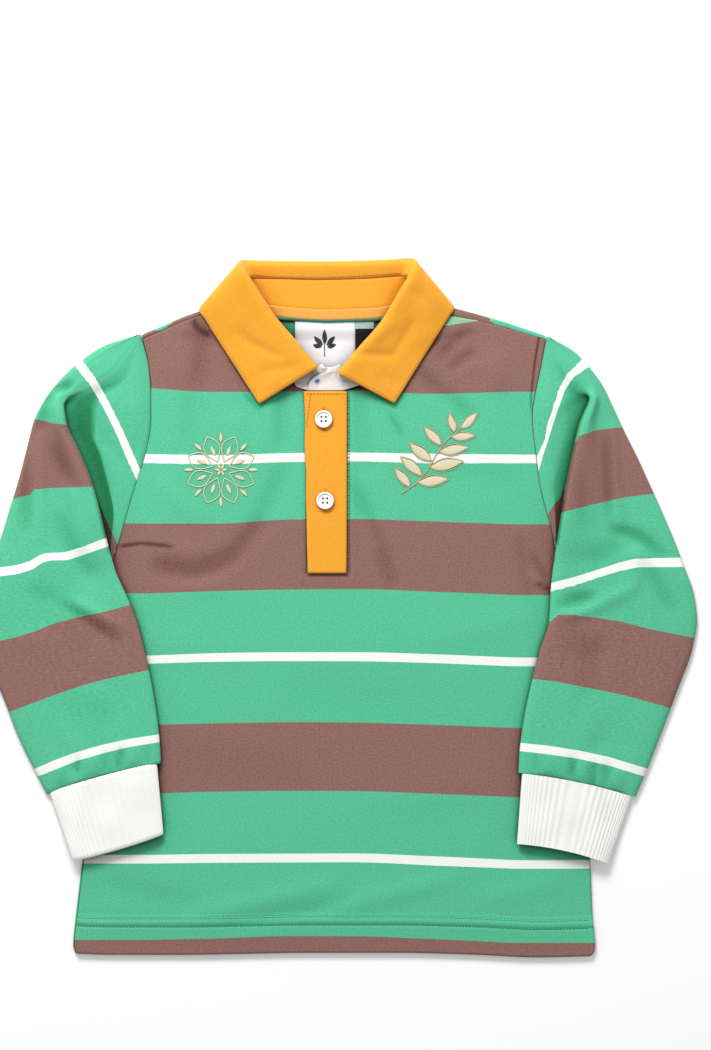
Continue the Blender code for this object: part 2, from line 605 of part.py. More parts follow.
def cuff(name, arm, opening, side, finish_of):
    """A flat tube of rib: ribs stand in its outer points over a plain inside."""
    top = [(arm.inner_x, arm.inner_y), (arm.mid_x, arm.mid_y), (arm.outer_x, arm.outer_y)]
    low = [(opening.inner_x, opening.inner_y), (opening.mid_x, opening.mid_y),
           (opening.outer_x, opening.outer_y)]
    share = CUFF_INSET / math.dist(top[0], top[2])
    drop = GAP + 0.25
    ends = [Vector(arc_point(*top, t)) for t in (share, 0.5, 1.0 - share)]
    lows = [Vector(point) for point in low]
    ends = [end + (down - end).normalized() * drop for end, down in zip(ends, lows)]

    def section(down, rise, wall_in):
        line = [end.lerp(lowest, down) for end, lowest in zip(ends, lows)]
        width = (line[2] - line[0]).length
        points = []
        steps = RIBS * 2 if rise else RIBS // 2
        for n in range(steps):
            turn = 2 * math.pi * n / steps
            across = 0.5 - 0.5 * math.copysign(abs(math.cos(turn)) ** 0.72, math.cos(turn))
            across = mix(wall_in / width, 1 - wall_in / width, across)
            plan = arc_point(*line, across)
            edge = abs(2 * across - 1) ** 10
            half = (CUFF_FOLD / 2 - wall_in - rise * (n % 2)) * math.sqrt(max(0.0, 1 - edge))
            base = sleeve_base(side, *plan)
            upper = 1 if turn <= math.pi else -1
            points.append((plan[0], plan[1], base + CUFF_FOLD / 2 + half * upper))
        return points

    levels = (0.0, 0.33, 0.66, 1.0)
    outside = [section(level, RIB_RISE, 0.0) for level in levels]
    inside = [section(level, 0.0, RIB_CLOTH) for level in levels]
    points, faces, starts = [], [], []
    for group in (outside, inside):
        starts.append(len(points))
        for ring in group:
            points += ring
    for group, start in zip((outside, inside), starts):
        count = len(group[0])
        for i in range(len(levels) - 1):
            for j in range(count):
                after = (j + 1) % count
                faces.append([start + i * count + j, start + i * count + after,
                              start + (i + 1) * count + after, start + (i + 1) * count + j])
    many, few = len(outside[0]), len(inside[0])
    ratio = many // few
    for level in (0, len(levels) - 1):
        for j in range(few):
            near = starts[0] + level * many
            far = starts[1] + level * few
            for k in range(ratio):
                a, b = near + (j * ratio + k) % many, near + (j * ratio + k + 1) % many
                pivot = far + (j if k < ratio / 2 else (j + 1) % few)
                faces.append([a, b, pivot])
            faces.append([near + (j * ratio + ratio // 2) % many, far + j, far + (j + 1) % few])
    return finish(name, points, faces, finish_of)


# ---- collar ---------------------------------------------------------------------------

def collar_rise(row):
    """The leaf over the shoulder rises with what it lies on."""
    return neck_rise(row.fall_x, min(row.fall_y, row.roll_y)) * (1.0 - row.wrap)


def leaf_section(row, lift):
    """Middle surface of the collar leaf across one section, seam to fall edge."""
    fall, roll, seam = (row.fall_x, row.fall_y), (row.roll_x, row.roll_y), (row.seam_x, row.seam_y)
    section = []
    for key, part in LEAF.items():
        height = mix(part.over, part.under, row.wrap)
        if key == "seam":
            plan = seam
        elif key == "puff":
            plan = (mix(roll[0], seam[0], 0.42), mix(roll[1], seam[1], 0.42))
        else:
            plan = (mix(roll[0], fall[0], part.reach), mix(roll[1], fall[1], part.reach))
        section.append((*plan, height + lift * (part.reach or 0.0) + collar_rise(row)))
    over = front_top(*fall) + GAP + TWILL / 2 + 0.25 + lift
    section.append((*fall, mix(over, FALL_UNDER, row.wrap)))
    return section


def stand_section(row):
    """Middle surface of the stand across one section, leaf seam to neck seam."""
    start = toward((row.seam_x, row.seam_y), (row.neck_x, row.neck_y), 0.9)
    high = mix(LEAF["seam"].over, LEAF["seam"].under, row.wrap) + collar_rise(row) - 0.5
    neck = (row.neck_x, row.neck_y)
    low = mix(front_top(*neck) + GAP + STAND / 2 + 0.1, NECK_UNDER, row.wrap)
    section = []
    for share in (0.0, 0.4, 0.75, 1.0):
        plan = (mix(start[0], neck[0], share), mix(start[1], neck[1], share))
        section.append((*plan, mix(high, low, share)))
    return section


def collar_leaf(finish_of):
    lifts = [TIP_LIFT * step(1.0 - min(n, len(COLLAR) - 1 - n) / 3.0) for n in range(len(COLLAR))]
    return sheet("collar_leaf", [leaf_section(row, lift) for row, lift in zip(COLLAR, lifts)],
                 TWILL, finish_of)


def collar_stand(finish_of):
    return sheet("collar_stand", [stand_section(row) for row in COLLAR[1:-1]], STAND, finish_of)


def neck_tape(finish_of):
    """A folded tape that covers the back neck seam inside."""
    sections = []
    for row in COLLAR[NECK_TAPE[0]:NECK_TAPE[1] + 1]:
        stand = stand_section(row)
        low, high = Vector(stand[-1]), Vector(stand[0])
        up = (high - low).normalized()
        lift = Vector((0.0, 0.0, STAND / 2 + GAP + TAPE / 2 + 0.1))
        sections.append([tuple(low + up * reach + lift) for reach in (TAPE_WIDTH, TAPE_WIDTH / 2, -0.4)])
    return sheet("neck_tape", sections, TAPE, finish_of)


# ---- placket, labels, buttons -----------------------------------------------------------

def placket_top(x, y):
    return front_top(x, y) + GAP + PLACKET


def placket_band(finish_of):
    plan = [[(mix(row.left, row.right, share), row.y) for share in (0.0, 0.16, 0.5, 0.84, 1.0)]
            for row in PLACKET_BAND]
    return slab("placket_band", plan, placket_top, lambda x, y: PLACKET, finish_of)


def placket_under(finish_of):
    """The band behind, which fills the cut in the front and carries the buttons."""
    rows = [SLOT_FOOT + 3.0] + [row.y for row in PLACKET_BAND if row.y > SLOT_FOOT + 10.0]
    ends = (SLOT[0] + GAP + 0.1, SLOT[1] - GAP - 0.1)
    plan = [[(mix(*ends, share), y) for share in (0.0, 0.5, 1.0)] for y in rows]
    return slab("placket_under", plan, front_top, lambda x, y: CLOTH, finish_of)


def placket_facing(finish_of):
    sections = []
    for row in FACING:
        section = []
        for share in (0.0, 0.25, 0.5, 0.75, 1.0):
            x, y = mix(row.x0, row.x1, share), mix(row.y0, row.y1, share)
            section.append((x, y, row.height + 0.35 * math.sin(math.pi * share)))
        sections.append(section)
    return sheet("placket_facing", sections, 1.0, finish_of)


def label(name, box, finish_of):
    x0, y0, x1, y1 = box
    plan = [[(mix(x0, x1, i / 4), mix(y0, y1, j / 8)) for i in range(5)] for j in range(9)]
    top = CLOTH + GAP + LABEL_CLEAR + LABEL
    return slab(name, plan, lambda x, y: top + neck_rise(x, y), lambda x, y: LABEL, finish_of)


def button(name, place, finish_of):
    """A turned button with a raised rim and four holes, flat on the placket."""
    radius = BUTTON_DIAMETER / 2
    profile = ((0.0, 0.0), (radius * 0.72, 0.0), (radius * 0.95, 0.6), (radius, 1.4),
               (radius * 0.93, BUTTON_HEIGHT - 0.2), (radius * 0.83, BUTTON_HEIGHT),
               (radius * 0.7, BUTTON_HEIGHT - 0.35), (radius * 0.58, BUTTON_HEIGHT - 0.75),
               (0.0, BUTTON_HEIGHT - 0.8))
    base = max(placket_top(place[0] + dx, place[1] + dy)
               for dx in (-radius, 0.0, radius) for dy in (-radius, 0.0, radius)) + GAP
    steps = 28
    points, faces = [], []
    for reach, height in profile[1:-1]:
        for n in range(steps):
            turn = 2 * math.pi * n / steps
            points.append((place[0] + reach * math.cos(turn), place[1] + reach * math.sin(turn),
                           base + height))
    rings = len(profile) - 2
    for i in range(rings - 1):
        for n in range(steps):
            after = (n + 1) % steps
            faces.append([i * steps + n, i * steps + after, (i + 1) * steps + after, (i + 1) * steps + n])
    for ring, height in ((0, profile[0][1]), (rings - 1, profile[-1][1])):
        points.append((place[0], place[1], base + height))
        for n in range(steps):
            faces.append([ring * steps + n, ring * steps + (n + 1) % steps, len(points) - 1])
    made = finish(name, points, faces, finish_of)
    for n in range(4):
        turn = math.pi / 4 + n * math.pi / 2
        spot = (place[0] + BUTTON_HOLE_SPREAD * math.sqrt(2) * math.cos(turn),
                place[1] + BUTTON_HOLE_SPREAD * math.sqrt(2) * math.sin(turn), base + BUTTON_HEIGHT / 2)
        bpy.ops.mesh.primitive_cylinder_add(vertices=10, radius=BUTTON_HOLE / 2 * MM,
                                            depth=BUTTON_HEIGHT * 3 * MM,
                                            location=[c * MM for c in spot])
        cutter = bpy.context.object
        cutter.name = f"{name}_hole_{n}"
        cutter.hide_render = True
        cutter.display_type = "WIRE"
        cut = made.modifiers.new(f"hole_{n}", "BOOLEAN")
        cut.operation = "DIFFERENCE"
        cut.object = cutter
    return made


# ---- the shirt ------------------------------------------------------------------------

def build():
    for old in list(bpy.data.objects):
        bpy.data.objects.remove(old, do_unlink=True)
    jersey = material("striped_jersey", (0.105, 0.60, 0.33), 0.85)
    rib = material("white_rib", (0.88, 0.88, 0.85), 0.85)
    twill = material("orange_twill", (0.96, 0.42, 0.035), 0.75)
    tape = material("neck_tape", (0.93, 0.46, 0.09), 0.8)
    facing = material("cream_facing", (0.78, 0.72, 0.6), 0.8)
    satin = material("white_label", (0.82, 0.82, 0.83), 0.5)
    black = material("black_label", (0.015, 0.015, 0.017), 0.55)
    plastic = material("button_plastic", (0.88, 0.86, 0.82), 0.3)
    back_panel(jersey)
    front_panel(jersey)
    sleeve("sleeve_left", CAP_LEFT, ARM_LEFT, -1, jersey)
    sleeve("sleeve_right", CAP_RIGHT, ARM_RIGHT, 1, jersey)
    cuff("cuff_left", ARM_LEFT[-1], CUFF_LEFT, -1, rib)
    cuff("cuff_right", ARM_RIGHT[-1], CUFF_RIGHT, 1, rib)
    collar_leaf(twill)
    collar_stand(twill)
    neck_tape(tape)
    placket_under(twill)
    placket_band(twill)
    placket_facing(facing)
    label("neck_label", LABEL_BOX, satin)
    label("size_tag", TAG_BOX, black)
    for name, place in zip(("button_top", "button_bottom"), BUTTON_PLACES):
        button(name, place, plastic)


build()
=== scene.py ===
# %% [markdown]
# # A long-sleeved rugby shirt, laid flat
# This lesson dresses a plain model of a laid-out shirt. The solid pieces come in as a fixed
# frame, and every piece of cloth is then made again as a thin shell with its creases,
# its stripes and its sewing. All tables are in millimetres, and meshes are in metres.

# %% Load the frame
import math

import bmesh
import bpy
import numpy as np
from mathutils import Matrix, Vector


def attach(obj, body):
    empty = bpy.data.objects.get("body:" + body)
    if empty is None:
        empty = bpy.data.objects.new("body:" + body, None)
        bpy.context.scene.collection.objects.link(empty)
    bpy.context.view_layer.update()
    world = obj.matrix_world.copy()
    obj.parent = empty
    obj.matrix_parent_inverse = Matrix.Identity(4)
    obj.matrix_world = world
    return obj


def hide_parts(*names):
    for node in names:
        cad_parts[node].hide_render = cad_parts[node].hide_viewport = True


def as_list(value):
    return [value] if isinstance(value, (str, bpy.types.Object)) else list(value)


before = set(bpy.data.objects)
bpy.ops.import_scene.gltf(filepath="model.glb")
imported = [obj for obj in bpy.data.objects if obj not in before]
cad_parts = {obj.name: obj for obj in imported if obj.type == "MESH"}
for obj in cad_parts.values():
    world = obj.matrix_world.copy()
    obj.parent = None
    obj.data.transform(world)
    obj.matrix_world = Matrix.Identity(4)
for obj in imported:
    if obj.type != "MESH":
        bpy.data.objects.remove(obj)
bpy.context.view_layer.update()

MM = 0.001
rng = np.random.default_rng(7)
print("solids:", sorted(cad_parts))

# %% [markdown]
# ## The camera and the light
# A flat garment is photographed from straight above with a long lens, so that its collar
# leans no way. The light is a wide soft box beyond the collar: it throws the faint shadow
# below the hem, and it rakes over the folds just enough to show them.

# %% Camera
PIXEL = 0.70                    # millimetres of table for one pixel of the picture
PICTURE = (711, 1050)
VIEW_CENTRE = (13.65, 57.9)
CAMERA_HEIGHT = 5000.0

lens = bpy.data.cameras.new("camera")
lens.sensor_width = 36.0
lens.lens = lens.sensor_width * CAMERA_HEIGHT / (PICTURE[1] * PIXEL)
camera = bpy.data.objects.new("camera", lens)
camera.location = (VIEW_CENTRE[0] * MM, VIEW_CENTRE[1] * MM, CAMERA_HEIGHT * MM)
lens.clip_end = 50.0
bpy.context.scene.collection.objects.link(camera)
bpy.context.scene.camera = camera
print("lens", round(lens.lens, 1), "mm")


# %% Lights
def soft_box(name, place, aim, size, power):
    data = bpy.data.lights.new(name, "AREA")
    data.shape = "RECTANGLE"
    data.size, data.size_y = size
    data.energy = power
    lamp = bpy.data.objects.new(name, data)
    lamp.location = place
    lamp.rotation_mode = "QUATERNION"
    lamp.rotation_quaternion = (Vector(aim) - Vector(place)).to_track_quat("-Z", "Y")
    bpy.context.scene.collection.objects.link(lamp)
    return lamp


soft_box("window", (-0.45, 1.70, 1.20), (0.0, 0.0, 0.0), (1.1, 0.6), 48.0)
sky = bpy.data.worlds.new("studio")
sky.use_nodes = True
sky_light = sky.node_tree.nodes["Background"]
sky_light.inputs["Color"].default_value = (1.0, 1.0, 1.0, 1.0)
sky_light.inputs["Strength"].default_value = 0.47
bpy.context.scene.world = sky
bpy.context.scene.view_settings.view_transform = "Standard"


# %% [markdown]
# ## Colours and shared finishes
# Cloth never is one flat colour. The knit's loops, the twill's slant and a faint mottling
# are needed in several materials, so each is a node group with named sockets, built once.
# The groups put out masks and heights only. The shader itself stays in each material.

# %% Colour helper and node helper
def srgb(r, g, b):
    """Linear colour of three 0 to 255 screen values."""
    return tuple((c / 255 / 12.92) if c < 11 else ((c / 255 + 0.055) / 1.055) ** 2.4 for c in (r, g, b))


def group(name, inputs, outputs):
    made = bpy.data.node_groups.new(name, "ShaderNodeTree")
    for label, kind, value in inputs:
        socket = made.interface.new_socket(name=label, in_out="INPUT", socket_type=kind)
        if value is not None:
            socket.default_value = value
    for label in outputs:
        made.interface.new_socket(name=label, in_out="OUTPUT", socket_type="NodeSocketFloat")
    return made, made.nodes.new("NodeGroupInput"), made.nodes.new("NodeGroupOutput")


def node(tree, kind, operation=None, **values):
    made = tree.nodes.new(kind)
    if operation:
        made.operation = operation
    for key, value in values.items():
        key = int(key[1:]) if key[0] == "i" and key[1:].isdigit() else key.replace("_", " ")
        made.inputs[key].default_value = value
    return made


def chain(tree, *links):
    for source, target in links:
        tree.links.new(source, target)


# %% Group: knit loops
def knit_group():
    """Height of a plain knit: columns of small slanted loops, read from a map in metres."""
    tree, into, out = group("knit", [("Map", "NodeSocketVector", None),
                                     ("Wales per metre", "NodeSocketFloat", 1000.0),
                                     ("Courses per metre", "NodeSocketFloat", 1250.0)], ["Height", "Mottle"])
    parts = node(tree, "ShaderNodeSeparateXYZ")
    chain(tree, (into.outputs["Map"], parts.inputs[0]))
    wale = node(tree, "ShaderNodeMath", "MULTIPLY")
    course = node(tree, "ShaderNodeMath", "MULTIPLY")
    chain(tree, (parts.outputs["X"], wale.inputs[0]), (into.outputs["Wales per metre"], wale.inputs[1]),
          (parts.outputs["Y"], course.inputs[0]), (into.outputs["Courses per metre"], course.inputs[1]))
    ridge = node(tree, "ShaderNodeMath", "PINGPONG", i1=0.5)
    slant = node(tree, "ShaderNodeMath", "MULTIPLY", i1=0.9)
    lean = node(tree, "ShaderNodeMath", "ADD")
    loop = node(tree, "ShaderNodeMath", "PINGPONG", i1=0.5)
    both = node(tree, "ShaderNodeMath", "MULTIPLY_ADD", i1=0.55)
    chain(tree, (wale.outputs[0], ridge.inputs[0]), (ridge.outputs[0], slant.inputs[0]),
          (slant.outputs[0], lean.inputs[0]), (course.outputs[0], lean.inputs[1]),
          (lean.outputs[0], loop.inputs[0]), (loop.outputs[0], both.inputs[0]),
          (ridge.outputs[0], both.inputs[2]))
    stretch = node(tree, "ShaderNodeMapping")
    stretch.inputs["Scale"].default_value = (640.0, 800.0, 640.0)
    noise = node(tree, "ShaderNodeTexNoise", Scale=1.0, Detail=3.0, Roughness=0.62)
    chain(tree, (into.outputs["Map"], stretch.inputs["Vector"]), (stretch.outputs[0], noise.inputs["Vector"]),
          (both.outputs[0], out.inputs["Height"]), (noise.outputs["Fac"], out.inputs["Mottle"]))
    return tree


# %% Group: twill slant
def twill_group():
    """Height of a twill: fine ridges that climb to the right, broken up by crossing threads."""
    tree, into, out = group("twill", [("Map", "NodeSocketVector", None),
                                      ("Ridges per metre", "NodeSocketFloat", 1300.0)], ["Height", "Mottle"])
    parts = node(tree, "ShaderNodeSeparateXYZ")
    slope = node(tree, "ShaderNodeMath", "MULTIPLY_ADD", i1=-0.62)
    count = node(tree, "ShaderNodeMath", "MULTIPLY")
    ridge = node(tree, "ShaderNodeMath", "PINGPONG", i1=0.5)
    across = node(tree, "ShaderNodeMath", "MULTIPLY", i1=1900.0)
    thread = node(tree, "ShaderNodeMath", "PINGPONG", i1=0.5)
    both = node(tree, "ShaderNodeMath", "MULTIPLY_ADD", i1=0.4)
    chain(tree, (into.outputs["Map"], parts.inputs[0]), (parts.outputs["Y"], slope.inputs[0]),
          (parts.outputs["X"], slope.inputs[2]), (slope.outputs[0], count.inputs[0]),
          (into.outputs["Ridges per metre"], count.inputs[1]), (count.outputs[0], ridge.inputs[0]),
          (parts.outputs["Y"], across.inputs[0]), (across.outputs[0], thread.inputs[0]),
          (thread.outputs[0], both.inputs[0]), (ridge.outputs[0], both.inputs[2]))
    noise = node(tree, "ShaderNodeTexNoise", Scale=420.0, Detail=3.0, Roughness=0.6)
    chain(tree, (into.outputs["Map"], noise.inputs["Vector"]), (both.outputs[0], out.inputs["Height"]),
          (noise.outputs["Fac"], out.inputs["Mottle"]))
    return tree


KNIT = knit_group()
TWILL_WEAVE = twill_group()


# %% Material maker
def cloth_material(name, colour, weave, roughness=0.85, depth=0.00012, mottle=0.10, sheen=0.25, bands=None,
                   fluff=0.006, hollow=0.7, reach=0.02, deep=0.15):
    """Cloth finish. colour is one linear colour, or bands lists where each starts on the stripe attribute."""
    made = bpy.data.materials.new(name)
    made.use_nodes = True
    tree = made.node_tree
    shader = tree.nodes["Principled BSDF"]
    shader.inputs["Roughness"].default_value = roughness
    shader.inputs["Sheen Weight"].default_value = sheen
    shader.inputs["Sheen Roughness"].default_value = 0.5
    shader.inputs["Specular IOR Level"].default_value = 0.25
    where = node(tree, "ShaderNodeUVMap")
    where.uv_map = "cloth"
    cloth = tree.nodes.new("ShaderNodeGroup")
    cloth.node_tree = weave
    bump = node(tree, "ShaderNodeBump", Strength=0.5, Distance=depth)
    shade = node(tree, "ShaderNodeMapRange", From_Min=0.3, From_Max=0.7,
                 To_Min=1.0 - mottle, To_Max=1.0 + mottle)
    tint = node(tree, "ShaderNodeVectorMath", "SCALE")
    chain(tree, (where.outputs["UV"], cloth.inputs["Map"]), (cloth.outputs["Height"], bump.inputs["Height"]),
          (bump.outputs["Normal"], shader.inputs["Normal"]), (cloth.outputs["Mottle"], shade.inputs["Value"]),
          (shade.outputs["Result"], tint.inputs["Scale"]))
    # Loose fibres lighten every colour alike, and painted shade darkens and deepens the colour in folds.
    fibre = node(tree, "ShaderNodeMapRange", From_Min=0.3, From_Max=0.7, To_Min=-fluff, To_Max=fluff)
    furry = node(tree, "ShaderNodeVectorMath", "ADD")
    # Painted shade: the AO node finds cloth close by, and hollow, reach and deep set how dark the colour
    # goes.
    fold = node(tree, "ShaderNodeAmbientOcclusion", Distance=reach)
    fold.samples = 8
    power = node(tree, "ShaderNodeMapRange", From_Min=deep, From_Max=0.92, To_Min=1.6, To_Max=1.0)
    fold_shade_dim = node(tree, "ShaderNodeMapRange", From_Min=deep, From_Max=0.92, To_Min=1.0 - hollow, To_Max=1.0)
    # The shade attribute is painted shade: how far a hollow is cut off from the light. It is 0 where a mesh
    # has none.
    painted_shade = node(tree, "ShaderNodeAttribute")
    painted_shade.attribute_name = "shade"
    painted_shade_power = node(tree, "ShaderNodeMath", "MULTIPLY_ADD", i1=0.66, i2=1.0)
    painted_shade_dim = node(tree, "ShaderNodeMath", "MULTIPLY_ADD", i1=-0.40, i2=1.0)
    both_power, both_dim = node(tree, "ShaderNodeMath", "MULTIPLY"), node(tree, "ShaderNodeMath", "MULTIPLY")
    chain(tree, (painted_shade.outputs["Fac"], painted_shade_power.inputs[0]), (painted_shade.outputs["Fac"], painted_shade_dim.inputs[0]),
          (painted_shade_power.outputs[0], both_power.inputs[0]), (power.outputs["Result"], both_power.inputs[1]),
          (painted_shade_dim.outputs[0], both_dim.inputs[0]), (fold_shade_dim.outputs["Result"], both_dim.inputs[1]))
    shade_deepen = tree.nodes.new("ShaderNodeGamma")
    final = node(tree, "ShaderNodeVectorMath", "SCALE")
    chain(tree, (cloth.outputs["Mottle"], fibre.inputs["Value"]), (tint.outputs["Vector"], furry.inputs[0]),
          (fibre.outputs["Result"], furry.inputs[1]), (fold.outputs["AO"], power.inputs["Value"]),
          (fold.outputs["AO"], fold_shade_dim.inputs["Value"]), (furry.outputs["Vector"], shade_deepen.inputs["Color"]),
          (both_power.outputs[0], shade_deepen.inputs["Gamma"]), (shade_deepen.outputs["Color"], final.inputs[0]),
          (both_dim.outputs[0], final.inputs["Scale"]),
          (final.outputs["Vector"], shader.inputs["Base Color"]))
    if bands is None:
        tint.inputs[0].default_value = colour
        return made
    stripe = node(tree, "ShaderNodeAttribute")
    stripe.attribute_name = "stripe"
    # A colour ramp is stored in 256 steps, too coarse for lines this thin, so each stripe is
    # a test of its own.
    shown = None
    for start, dye in bands[1:]:
        past = node(tree, "ShaderNodeMath", "GREATER_THAN", i1=start)
        pick = tree.nodes.new("ShaderNodeMix")
        pick.data_type = "RGBA"
        pick.inputs[7].default_value = (*dye, 1.0)
        if shown is None:
            pick.inputs[6].default_value = (*bands[0][1], 1.0)
        else:
            chain(tree, (shown.outputs[2], pick.inputs[6]))
        chain(tree, (stripe.outputs["Fac"], past.inputs[0]), (past.outputs[0], pick.inputs[0]))
        shown = pick
    chain(tree, (shown.outputs[2], tint.inputs[0]))
    return made


# %% The shirt's finishes
GREEN = srgb(87, 194, 151)
BROWN = srgb(144, 105, 96)
WHITE = srgb(249, 251, 246)
ORANGE = srgb(243, 166, 42)
# Stripe ruler: where each colour begins, in millimetres up the body from the middle.
STRIPES = [
    (-300.0, BROWN), (-232.0, GREEN), (-178.0, WHITE), (-172.5, GREEN), (-128.5, BROWN), (-81.5, GREEN),
    (-37.5, WHITE), (-32.0, GREEN), (13.0, BROWN), (59.0, GREEN), (101.5, WHITE), (106.5, GREEN),
    (150.5, BROWN), (197.0, srgb(140, 196, 160)),
]
GREEN_PLACE, BROWN_PLACE = 125.0, 175.0    # places on the ruler that are well inside one colour
jersey = cloth_material("striped_jersey", None, KNIT, bands=STRIPES, mottle=0.03, fluff=0.032,
                        hollow=0.85, reach=0.03, deep=0.33)
rib_knit = cloth_material("white_rib", srgb(250, 251, 247), KNIT, mottle=0.02)
twill = cloth_material("orange_twill", ORANGE, TWILL_WEAVE, roughness=0.7, depth=0.00008, mottle=0.035,
                       hollow=0.55)
tape_cotton = cloth_material("neck_tape", srgb(236, 168, 76), TWILL_WEAVE, depth=0.00006, mottle=0.04)
facing_cotton = cloth_material("cream_facing", srgb(240, 235, 226), TWILL_WEAVE, depth=0.00004, mottle=0.02)
satin = cloth_material("white_satin", srgb(243, 243, 246), TWILL_WEAVE, roughness=0.45, depth=0.00003,
                       mottle=0.015)
black_satin = cloth_material("black_satin", None, TWILL_WEAVE, roughness=0.5, depth=0.00003, mottle=0.03,
                             bands=[(170.0, srgb(24, 24, 27)), (195.2, srgb(176, 200, 188))])
print("finishes:", len(bpy.data.materials))

# %% [markdown]
# ## How a piece of cloth is made
# A laid-out panel is a grid of points: its upper face, and its lining one wall lower. The
# faces are joined by a rounded rim along every free edge, as a turned edge is round. The
# grid comes from short tables, drawn out to a smooth surface between their rows.


# %% Smooth drawing between table rows
def smooth(t):
    t = np.clip(t, 0.0, 1.0)
    return t * t * (3.0 - 2.0 * t)


def glide(values, knots, places):
    """Smooth curve through rows of values at knots, with no overshoot, read at places."""
    values, knots, places = (np.asarray(part, float) for part in (values, knots, places))
    gap = np.diff(knots).reshape(-1, *[1] * (values.ndim - 1))
    slope = np.diff(values, axis=0) / gap
    bend = np.zeros_like(values)
    first, second = 2 * gap[1:] + gap[:-1], gap[1:] + 2 * gap[:-1]
    with np.errstate(divide="ignore", invalid="ignore"):
        mean = (first + second) / (first / slope[:-1] + second / slope[1:])
    bend[1:-1] = np.where(slope[1:] * slope[:-1] > 0, mean, 0.0)
    bend[0], bend[-1] = slope[0], slope[-1]
    k = np.clip(np.searchsorted(knots, places, side="right") - 1, 0, len(knots) - 2)
    h = gap[k]
    t = ((places - knots[k]).reshape(h.shape)) / h
    return ((1 + 2 * t) * (1 - t) ** 2 * values[k] + t * (1 - t) ** 2 * h * bend[k]
            + t * t * (3 - 2 * t) * values[k + 1] + t * t * (t - 1) * h * bend[k + 1])


def stations(knots, spacing):
    """Places along the knots, every knot kept and each gap cut into steps of about the spacing."""
    places = [knots[0]]
    for a, b in zip(knots, knots[1:]):
        pieces = max(1, int(math.ceil((b - a) / spacing - 1e-6)))
        places += [a + (b - a) * n / pieces for n in range(1, pieces + 1)]
    return np.array(places)


def outline(rows):
    """A smooth line that reads the second column at a place in the first."""
    keys, values = np.array(rows, float).T
    fine = stations(list(keys), 2.0)
    drawn = glide(values, keys, fine)
    return lambda place: np.interp(place, fine, drawn)


def refine(grid, spacing, row_knots=None):
    """A coarse grid of points drawn out to steps of about the spacing, both ways."""
    grid = np.asarray(grid, float)
    steps = np.linalg.norm(np.diff(grid, axis=1), axis=2).mean(0).clip(0.3)
    columns = np.concatenate([[0.0], np.cumsum(steps)])
    climb = np.linalg.norm(np.diff(grid, axis=0), axis=2).mean(1).clip(0.3)
    rows = np.concatenate([[0.0], np.cumsum(climb)])
    across = stations(list(columns), spacing[1])
    along = stations(list(rows), spacing[0])
    drawn = glide(grid, rows, along)
    drawn = glide(drawn.transpose(1, 0, 2), columns, across).transpose(1, 0, 2)
    return drawn, (rows, along), (columns, across)


# %% Closing a wall of cloth
def shell(name, face, lining, uv, finish, stripe=None, ring_from=None, keep=None, rim=0.42, shade=None):
    """A closed wall of cloth from the points of its face and its lining, in millimetres."""
    rows, columns = face.shape[:2]
    place = np.arange(rows * columns).reshape(rows, columns)
    if ring_from is not None:
        place[ring_from:, -1] = place[ring_from:, 0]
    quads = np.stack([place[:-1, :-1], place[:-1, 1:], place[1:, 1:], place[1:, :-1]], -1)
    quads = quads[keep] if keep is not None else quads.reshape(-1, 4)
    used, quads = np.unique(quads.reshape(-1), return_inverse=True)
    quads = quads.reshape(-1, 4)
    count = len(used)
    outer, inner = face.reshape(-1, 3)[used], lining.reshape(-1, 3)[used]
    pairs = np.concatenate([quads[:, [k, (k + 1) % 4]] for k in range(4)])
    low, high = pairs.min(1), pairs.max(1)
    _, which, uses = np.unique(low * count + high, return_inverse=True, return_counts=True)
    free = pairs[uses[which.reshape(-1)] == 1]
    rim_points = np.unique(free)
    spot = {int(v): 2 * count + n for n, v in enumerate(rim_points)}
    wall = outer[rim_points] - inner[rim_points]
    outward = np.zeros((count, 3))
    for a, b in free:
        side = np.cross(outer[b] - outer[a], outer[a] - inner[a])
        side /= np.linalg.norm(side) + 1e-9
        outward[a] += side
        outward[b] += side
    push = outward[rim_points]
    push /= np.linalg.norm(push, axis=1, keepdims=True) + 1e-9
    thick = np.linalg.norm(wall, axis=1, keepdims=True)
    middle = (outer[rim_points] + inner[rim_points]) / 2 + push * thick * rim
    points = np.concatenate([outer, inner, middle])
    faces = quads.tolist() + (quads[:, ::-1] + count).tolist()
    for a, b in free.tolist():
        faces.append([b, a, spot[a], spot[b]])
        faces.append([spot[b], spot[a], a + count, b + count])
    mesh = bpy.data.meshes.new(name)
    mesh.from_pydata((points * MM).tolist(), [], faces)
    layer = mesh.uv_layers.new(name="cloth")
    flat = uv.reshape(-1, 2)[used] * MM
    flat = np.concatenate([flat, flat, flat[rim_points]])
    corners = np.zeros(len(mesh.loops), np.int32)
    mesh.loops.foreach_get("vertex_index", corners)
    layer.data.foreach_set("uv", flat[corners].astype(np.float32).ravel())
    if stripe is not None:
        both = stripe if isinstance(stripe, tuple) else (stripe, stripe)
        upper, lower = (part.reshape(-1)[used] for part in both)
        values = np.concatenate([upper, lower, upper[rim_points]])
        mesh.attributes.new("stripe", "FLOAT", "POINT").data.foreach_set("value", values.astype(np.float32))
    if shade is not None:
        upper = shade.reshape(-1)[used]
        values = np.concatenate([upper, upper, upper[rim_points]])
        mesh.attributes.new("shade", "FLOAT", "POINT").data.foreach_set("value", values.astype(np.float32))
    mesh.materials.append(finish)
    return place_piece(name, mesh)


def place_piece(name, mesh, angle=62.0):
    """Links a mesh as an object at the origin, turns its faces outwards and smooths it."""
    shape = bmesh.new()
    shape.from_mesh(mesh)
    bmesh.ops.recalc_face_normals(shape, faces=shape.faces)
    shape.to_mesh(mesh)
    shape.free()
    made = bpy.data.objects.new(name, mesh)
    bpy.context.scene.collection.objects.link(made)
    bpy.ops.object.select_all(action="DESELECT")
    made.select_set(True)
    bpy.context.view_layer.objects.active = made
    bpy.ops.object.shade_smooth_by_angle(angle=math.radians(angle))
    made.select_set(False)
    return made


